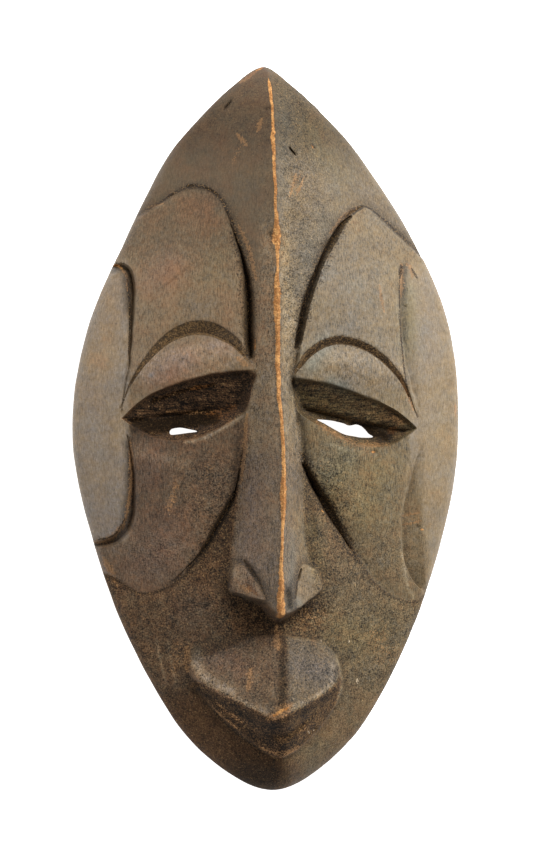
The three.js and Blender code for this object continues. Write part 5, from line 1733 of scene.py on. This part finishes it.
def set_grimy(shell, values):
    """Gives the dull wood to the bottoms of the cuts, the dark marks and the painted shade in the sockets.
    """
    grimy_and_shaded = (values["dirt"] > GRIMY_DIRT) | (values["dark"] > GRIMY_MARK)
    grimy_and_shaded |= (values["socket"] > GRIMY_SOCKET) & (values["shade"] < GRIMY_SHADE)
    for number, face in enumerate(shell.faces):
        if shell.woods[number] == FACE_WOOD and grimy_and_shaded[face].all():
            shell.woods[number] = GRIMY_WOOD


def build_mask():
    """The carved mask as one piece, in place of the plain solid."""
    shell, points, fields = mask_shell()
    values = finish_fields(shell, points, fields)
    set_grimy(shell, values)
    corners = np.concatenate(shell.corners)
    corners[:, :2] -= 0.5 * (outline.low + outline.high)
    mesh = bpy.data.meshes.new("carved_mask")
    mesh.from_pydata((corners * MM).tolist(), [], shell.faces)
    mesh.polygons.foreach_set("material_index", shell.woods)
    mesh.shade_smooth()
    mesh.set_sharp_from_angle(angle=math.radians(SHARP_ANGLE))
    for name, value in values.items():
        attribute = mesh.attributes.new(name, "FLOAT", "POINT")
        attribute.data.foreach_set("value", value.astype(np.float32))
    mesh.update()
    mask = bpy.data.objects.new("carved_mask", mesh)
    bpy.context.scene.collection.objects.link(mask)
    return mask


# Shader building

class Shader:
    """A node tree with short ways to add the nodes that the finishes use."""

    def __init__(self, tree):
        self.tree = tree

    def node(self, kind, inputs=None, **settings):
        made = self.tree.nodes.new("ShaderNode" + kind)
        for name, value in settings.items():
            setattr(made, name, value)
        for key, value in (inputs or {}).items():
            self.feed(made.inputs[key], value)
        return made

    def feed(self, socket, value):
        if isinstance(value, bpy.types.NodeSocket):
            self.tree.links.new(value, socket)
        elif isinstance(value, tuple) and len(value) == 3 and socket.type == "RGBA":
            socket.default_value = (*value, 1.0)
        else:
            socket.default_value = value

    def math(self, operation, *values, clamp=False):
        """The first value with each later one added, multiplied and so on in turn."""
        result, *later = values
        for value in later:
            made = self.node("Math", {0: result, 1: value}, operation=operation, use_clamp=clamp)
            result = made.outputs[0]
        return result

    def times(self, *values):
        return self.math("MULTIPLY", *values)

    def plus(self, *values):
        return self.math("ADD", *values)

    def most(self, *values):
        return self.math("MAXIMUM", *values)

    def swing(self, noise, amount):
        """A noise about 0 instead of about a half."""
        return self.times(self.math("SUBTRACT", noise, 0.5), amount)

    def between(self, value, low, high, start=0.0, end=1.0):
        """0 below low, 1 above high and smooth between them, or from start to end."""
        inputs = {"Value": value, "From Min": low, "From Max": high, "To Min": start, "To Max": end}
        return self.node("MapRange", inputs, interpolation_type="SMOOTHSTEP").outputs["Result"]

    def mix(self, share, a, b):
        return self.node("Mix", {0: share, 6: a, 7: b}, data_type="RGBA").outputs[2]

    def noise(self, place, size, detail=2.0, roughness=0.5):
        scale = 1.0 / size if isinstance(size, float) else self.math("DIVIDE", 1.0, size)
        inputs = {"Vector": place, "Scale": scale, "Detail": detail, "Roughness": roughness}
        return self.node("TexNoise", inputs).outputs["Fac"]

    def scaled(self, vector, factor):
        return self.node("VectorMath", {0: vector, 1: factor}, operation="MULTIPLY").outputs[0]

    def field(self, name):
        return self.node("Attribute", attribute_name=name).outputs["Fac"]

    def group(self, tree, **inputs):
        made = self.node("Group")
        made.node_tree = tree
        for name, value in inputs.items():
            self.feed(made.inputs[name], value)
        return made.outputs


def new_group(name, inputs, outputs):
    """An empty node group that gives values; inputs are {name: default}, a vector where it is None."""
    tree = bpy.data.node_groups.new(name, "ShaderNodeTree")
    for title, value in inputs.items():
        kind = "NodeSocketVector" if value is None else "NodeSocketFloat"
        socket = tree.interface.new_socket(title, in_out="INPUT", socket_type=kind)
        if value is not None:
            socket.default_value = value
    for title in outputs:
        tree.interface.new_socket(title, in_out="OUTPUT", socket_type="NodeSocketFloat")
    given = tree.nodes.new("NodeGroupInput").outputs
    result = tree.nodes.new("NodeGroupOutput").inputs
    return Shader(tree), given, result


def wood_grain_group():
    """Noises of the wood about a half: fine dashes along Y, mottling of all sizes and soft clouds."""
    outputs = ("Dashes", "Mottle", "Clouds")
    shader, given, result = new_group("wood_grain", {"Place": None, **FACE_GRAIN}, outputs)
    place, width = given["Place"], given["Dash Width"]
    squeeze = shader.math("DIVIDE", width, given["Dash Length"])
    squeezed = shader.node("CombineXYZ", {"X": 1.0, "Y": squeeze, "Z": 1.0}).outputs[0]
    shader.feed(result["Dashes"], shader.noise(shader.scaled(place, squeezed), width, 1.0, 0.6))
    shader.feed(result["Mottle"], shader.noise(place, given["Mottle Size"], 3.0, 1.0))
    shader.feed(result["Clouds"], shader.noise(place, given["Cloud Size"], 3.0, 0.6))
    return shader.tree


def specks_group():
    """Scattered grains of one size: pores below the surface and pale specks on it."""
    shader, given, result = new_group("specks", {"Place": None, **HOLLOW_GRIT}, ("Pores", "Pale"))
    for name, finer, shift in (("Pores", 1.0, 0.0), ("Pale", 1.2, 37.0)):
        moved = shader.node("VectorMath", {0: given["Place"], 1: (shift, shift, shift)}).outputs[0]
        cells = shader.noise(moved, shader.math("DIVIDE", given["Size"], finer), 2.0, 0.7)
        start = shader.math("SUBTRACT", 0.72, shader.times(given["Share"], 0.25))
        shader.feed(result[name], shader.between(cells, start, shader.plus(start, 0.08)))
    return shader.tree


def worn_edge_group():
    """A ragged mask where a field rises above 0, such as wood rubbed bare along an edge."""
    inputs = {"Place": None, "Field": 0.0, "Raggedness": 0.6, "Chip Size": 0.6}
    shader, given, result = new_group("worn_edge", inputs, ("Mask",))
    chips = shader.noise(given["Place"], given["Chip Size"], 3.0, 0.7)
    level = shader.plus(given["Field"], shader.swing(chips, shader.times(given["Raggedness"], 2.0)))
    shader.feed(result["Mask"], shader.between(level, -0.02, 0.22))
    return shader.tree


def new_wood(name):
    """An empty wood material with its place in millimetres."""
    material = bpy.data.materials.new(name)
    material.use_nodes = True
    material.node_tree.nodes.clear()
    shader = Shader(material.node_tree)
    place = shader.node("TexCoord").outputs["Object"]
    return material, shader, shader.scaled(place, (1 / MM, 1 / MM, 1 / MM))


def finish_wood(shader, colour, roughness, relief, depth, sheen):
    """The surface of a wood; the relief is raised by this depth in millimetres."""
    inputs = {"Height": relief, "Strength": 1.0, "Distance": depth * MM}
    normal = shader.node("Bump", inputs).outputs[0]
    surface = shader.node("BsdfPrincipled", {
        "Base Color": colour, "Roughness": roughness, "Normal": normal, "Specular IOR Level": sheen,
    })
    shader.node("OutputMaterial", {"Surface": surface.outputs[0]})


def tinted_stain(shader, fibres, fleck, blots):
    """The stain of each part: its tint by redness and gold, times its lightness."""
    field, swing = shader.field, shader.swing
    clouds = fibres["Clouds"]
    uneven = swing(fleck, shader.times(field("lively"), 0.8))
    redness = shader.plus(field("redness"), uneven, swing(clouds, 0.6), swing(blots, 0.7))
    colour = shader.mix(shader.math("MULTIPLY", redness, 2.0, clamp=True), ASHEN_TINT, BROWN_TINT)
    redder = shader.math("SUBTRACT", shader.times(redness, 2.0), 1.0, clamp=True)
    colour = shader.mix(redder, colour, RED_TINT)
    bluish = shader.times(field("greyed"), shader.between(fleck, 0.3, 0.6, 0.4, 1.0))
    colour = shader.mix(bluish, colour, BLUISH_TINT)
    gold = shader.plus(field("gold"), swing(clouds, 0.8), swing(fleck, 0.6))
    cast = [shader.plus(1.0, shader.times(gold, share)) for share in GOLD_CAST]
    cast = shader.node("CombineXYZ", dict(zip("XYZ", cast))).outputs[0]
    return shader.scaled(shader.scaled(colour, cast), field("shade"))


def painted_brows(shader, colour, ragged, fleck):
    """The olive brows with ochre grains, darker along their edges, over the stain."""
    brow = shader.plus(shader.field("brow"), shader.swing(ragged, 0.2))
    paint = shader.mix(shader.between(ragged, 0.45, 0.58), BROW_OLIVE, BROW_OCHRE)
    edge = shader.between(shader.plus(brow, shader.swing(fleck, 0.5)), 0.05, 0.4, 0.6, 0.0)
    paint = shader.mix(edge, paint, GROOVE_BLACK)
    return shader.mix(shader.between(brow, 0.0, 0.1, 0.0, 0.92), colour, paint)


def face_texture(shader, place, fibres, fine):
    """How light or dark each spot of the stain came out, about 1."""
    coarse = shader.field("coarse")
    streaks = shader.noise(shader.scaled(place, STREAK_STRETCH), STREAK_SIZE, 3.0, 0.8)
    swings = [shader.swing(streaks, shader.times(shader.field("socket"), SOCKET_TEXTURE))]
    for name, (smooth, rough) in FACE_TEXTURE.items():
        noise = fine if name == "Fine" else fibres[name]
        swings.append(shader.swing(noise, shader.plus(smooth, shader.times(coarse, rough))))
    texture = shader.times(shader.plus(*swings), shader.field("lively"))
    return shader.most(shader.plus(1.0, texture), DARKEST_TEXTURE)


def dirt_and_shade_share(shader, fibres, ragged, dark_marks):
    """Dirt in cuts, seams, nicks and low ground, with painted shade round the nose wings and in dark marks.
    """
    cuts = shader.between(shader.plus(shader.field("dirt"), shader.swing(ragged, 1.4)), 0.08, 0.5)
    seam = shader.times(shader.field("seam"), shader.between(fibres["Mottle"], 0.4, 0.55, 0.35, 0.9))
    grimy_and_shaded = shader.plus(shader.field("grime_and_shade"), shader.swing(ragged, 3.2), 1.6)
    return shader.most(
        cuts,
        shader.times(shader.most(shader.field("cavity"), 0.0), CAVITY_DIRT),
        shader.times(shader.field("nicked"), NICK_DIRT),
        seam,
        shader.times(shader.field("grime_and_shade"), shader.between(grimy_and_shaded, 0.3, 0.9, 0.0, 0.85)),
        shader.times(dark_marks, DARK_MARK_DIRT_AND_SHADE),
    )


def stained_wood(name, sheen, grain, specks, worn_edge):
    """The face: dark stain, rubbed grey on the high parts and left black in the cuts."""
    material, shader, place = new_wood(name)
    plus, times, between, mix_in = shader.plus, shader.times, shader.between, shader.mix
    fibres = shader.group(grain, **{"Place": place, **FACE_GRAIN})
    grit = shader.group(specks, **{"Place": place, **FACE_GRIT})
    coarse = shader.field("coarse")
    fine = shader.noise(place, FINE_SIZE, 1.0, 0.6)
    fleck = shader.noise(place, FLECK_SIZE, 2.0, 0.7)
    ragged = times(plus(fleck, fine), 0.5)
    marks = {}
    for kind, (raggedness, chip) in MARK_EDGES.items():
        inputs = {"Field": shader.field(kind), "Raggedness": raggedness, "Chip Size": chip}
        marks[kind] = shader.group(worn_edge, **{"Place": place, **inputs})["Mask"]

    colour = tinted_stain(shader, fibres, fleck, shader.noise(place, BLOT_SIZE, 3.0, 0.6))
    colour = painted_brows(shader, colour, ragged, fleck)
    for kind, (share, mark_colour) in MARK_COLOURS.items():
        colour = mix_in(times(marks[kind], share), colour, mark_colour)
    colour = mix_in(times(grit["Pale"], plus(0.05, times(coarse, 0.35))), colour, SPECK_OCHRE)
    colour = shader.scaled(colour, face_texture(shader, place, fibres, fine))
    colour = mix_in(times(grit["Pores"], plus(0.2, times(coarse, 0.6))), colour, GROOVE_BLACK)

    # Dirt, together with painted shade round the nose wings and the painted shadow of two dark marks in the
    # sockets
    dirt = dirt_and_shade_share(shader, fibres, ragged, marks["dark"])
    dirt = shader.math("MULTIPLY", dirt, DIRT_AND_SHADE_COVER, clamp=True)
    grains = times(between(fine, 0.53, 0.68), between(shader.field("socket"), 0.3, 1.0, 1.0, 0.15))
    colour = mix_in(dirt, colour, mix_in(grains, GROOVE_BLACK, BROW_OCHRE))

    beside_bare = times(between(shader.field("bare"), -1.0, -0.1), between(fleck, 0.45, 0.6, 0.2, 0.7))
    colour = mix_in(beside_bare, colour, BROW_OLIVE)
    bare = mix_in(between(fibres["Mottle"], 0.42, 0.62), BARE_ORANGE, BARE_PALE)
    bare = shader.scaled(bare, plus(1.0, shader.swing(fine, 1.8)))
    colour = mix_in(times(marks["bare"], BARE_COVER), colour, bare)

    dull = plus(times(coarse, 0.25), between(shader.field("shade"), 0.02, 0.07, 0.45, 0.0))
    roughness = plus(FACE_ROUGHNESS, shader.swing(fibres["Mottle"], 0.3), dull)
    roughness = shader.math("ADD", roughness, times(marks["bare"], 0.2), clamp=True)
    rough_relief = times(shader.noise(place, FACE_RELIEF_SIZE, 3.0, 0.7), plus(0.5, times(coarse, 2.5)))
    relief = plus(times(fibres["Dashes"], 0.6), rough_relief, times(grit["Pores"], -0.5))
    finish_wood(shader, colour, roughness, relief, FACE_RELIEF, sheen)
    return material


def hollow_wood(grain, specks):
    """The back and the hollow: bare of polish, scooped with a gouge and darkened by age."""
    material, shader, place = new_wood("hollow_wood")
    fibres = shader.group(grain, **{"Place": place, **HOLLOW_GRAIN})
    grit = shader.group(specks, **{"Place": place, **HOLLOW_GRIT})
    colour = shader.mix(shader.between(fibres["Clouds"], 0.3, 0.7), HOLLOW_BROWN, HOLLOW_TAN)
    texture = shader.plus(1.0, shader.swing(fibres["Dashes"], 1.2), shader.swing(fibres["Mottle"], 0.8))
    colour = shader.scaled(colour, shader.most(texture, 0.2))
    colour = shader.mix(shader.times(grit["Pores"], 0.5), colour, GROOVE_BLACK)
    relief = shader.plus(fibres["Dashes"], shader.noise(place, HOLLOW_RELIEF_SIZE, 3.0, 0.7))
    roughness = shader.plus(HOLLOW_ROUGHNESS, shader.swing(fibres["Mottle"], 0.4))
    finish_wood(shader, colour, roughness, relief, HOLLOW_RELIEF, HOLLOW_SHEEN)
    return material


# Setting: camera, floor and light

def set_camera():
    """Looks down on the lying mask, a little from its left, with the pointed top up."""
    centre = 0.5 * (outline.low + outline.high)
    turn = math.radians(CAMERA_TURN)
    back = Vector((-math.sin(turn), 0, math.cos(turn)))
    across = Vector((math.cos(turn), 0, math.sin(turn)))
    up = Vector((0, 1, 0))
    target = Vector((-centre[0], -centre[1], TARGET_HEIGHT))
    camera = bpy.data.objects.new("camera", bpy.data.cameras.new("camera"))
    camera.data.lens = LENS
    camera.data.sensor_width = SENSOR
    camera.data.clip_start, camera.data.clip_end = CAMERA_CLIP
    place = Matrix((across, up, back)).transposed().to_4x4()
    place.translation = (target + CAMERA_DISTANCE * back) * MM
    camera.matrix_world = place
    bpy.context.scene.collection.objects.link(camera)
    bpy.context.scene.camera = camera


def add_softbox(name, place, side, power):
    """A square light that faces the mask."""
    light = bpy.data.lights.new(name, "AREA")
    light.shape = "RECTANGLE"
    light.size = light.size_y = side
    light.energy = power
    softbox = bpy.data.objects.new(name, light)
    softbox.location = place
    way = Vector(LIGHT_TARGET) - softbox.location
    softbox.rotation_mode = "QUATERNION"
    softbox.rotation_quaternion = way.to_track_quat("-Z", "Y")
    bpy.context.scene.collection.objects.link(softbox)


def set_light():
    """A soft key from above the pointed top and a little right, a low one from the right, a weak fill."""
    for name, softbox in SOFTBOXES.items():
        add_softbox(name, *softbox)
    world = bpy.data.worlds.new("studio")
    world.use_nodes = True
    background = world.node_tree.nodes["Background"]
    background.inputs["Color"].default_value = (1, 1, 1, 1)
    background.inputs["Strength"].default_value = WORLD_LIGHT
    bpy.context.scene.world = world
    bpy.context.scene.view_settings.view_transform = "Standard"


def build_floor():
    """A plain pale light table."""
    mesh = bpy.data.meshes.new("floor")
    half = 0.5 * FLOOR_SIZE
    corners = [(-half, -half, 0), (half, -half, 0), (half, half, 0), (-half, half, 0)]
    mesh.from_pydata(corners, [], [(0, 1, 2, 3)])
    floor = bpy.data.objects.new("floor", mesh)
    bpy.context.scene.collection.objects.link(floor)
    material = bpy.data.materials.new("light_table")
    material.use_nodes = True
    surface = material.node_tree.nodes["Principled BSDF"]
    surface.inputs["Base Color"].default_value = (FLOOR_SHADE, FLOOR_SHADE, FLOOR_SHADE, 1)
    surface.inputs["Roughness"].default_value = FLOOR_ROUGHNESS
    surface.inputs["Emission Color"].default_value = (1, 1, 1, 1)
    surface.inputs["Emission Strength"].default_value = 1.0
    mesh.materials.append(material)


set_camera()
set_light()
build_floor()
grain, specks, worn_edge = wood_grain_group(), specks_group(), worn_edge_group()
mask = build_mask()
mask.data.materials.append(stained_wood("stained_wood", FACE_SHEEN, grain, specks, worn_edge))
mask.data.materials.append(hollow_wood(grain, specks))
mask.data.materials.append(stained_wood("grimy_wood", GRIMY_SHEEN, grain, specks, worn_edge))
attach(mask, "root")
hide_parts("mask")
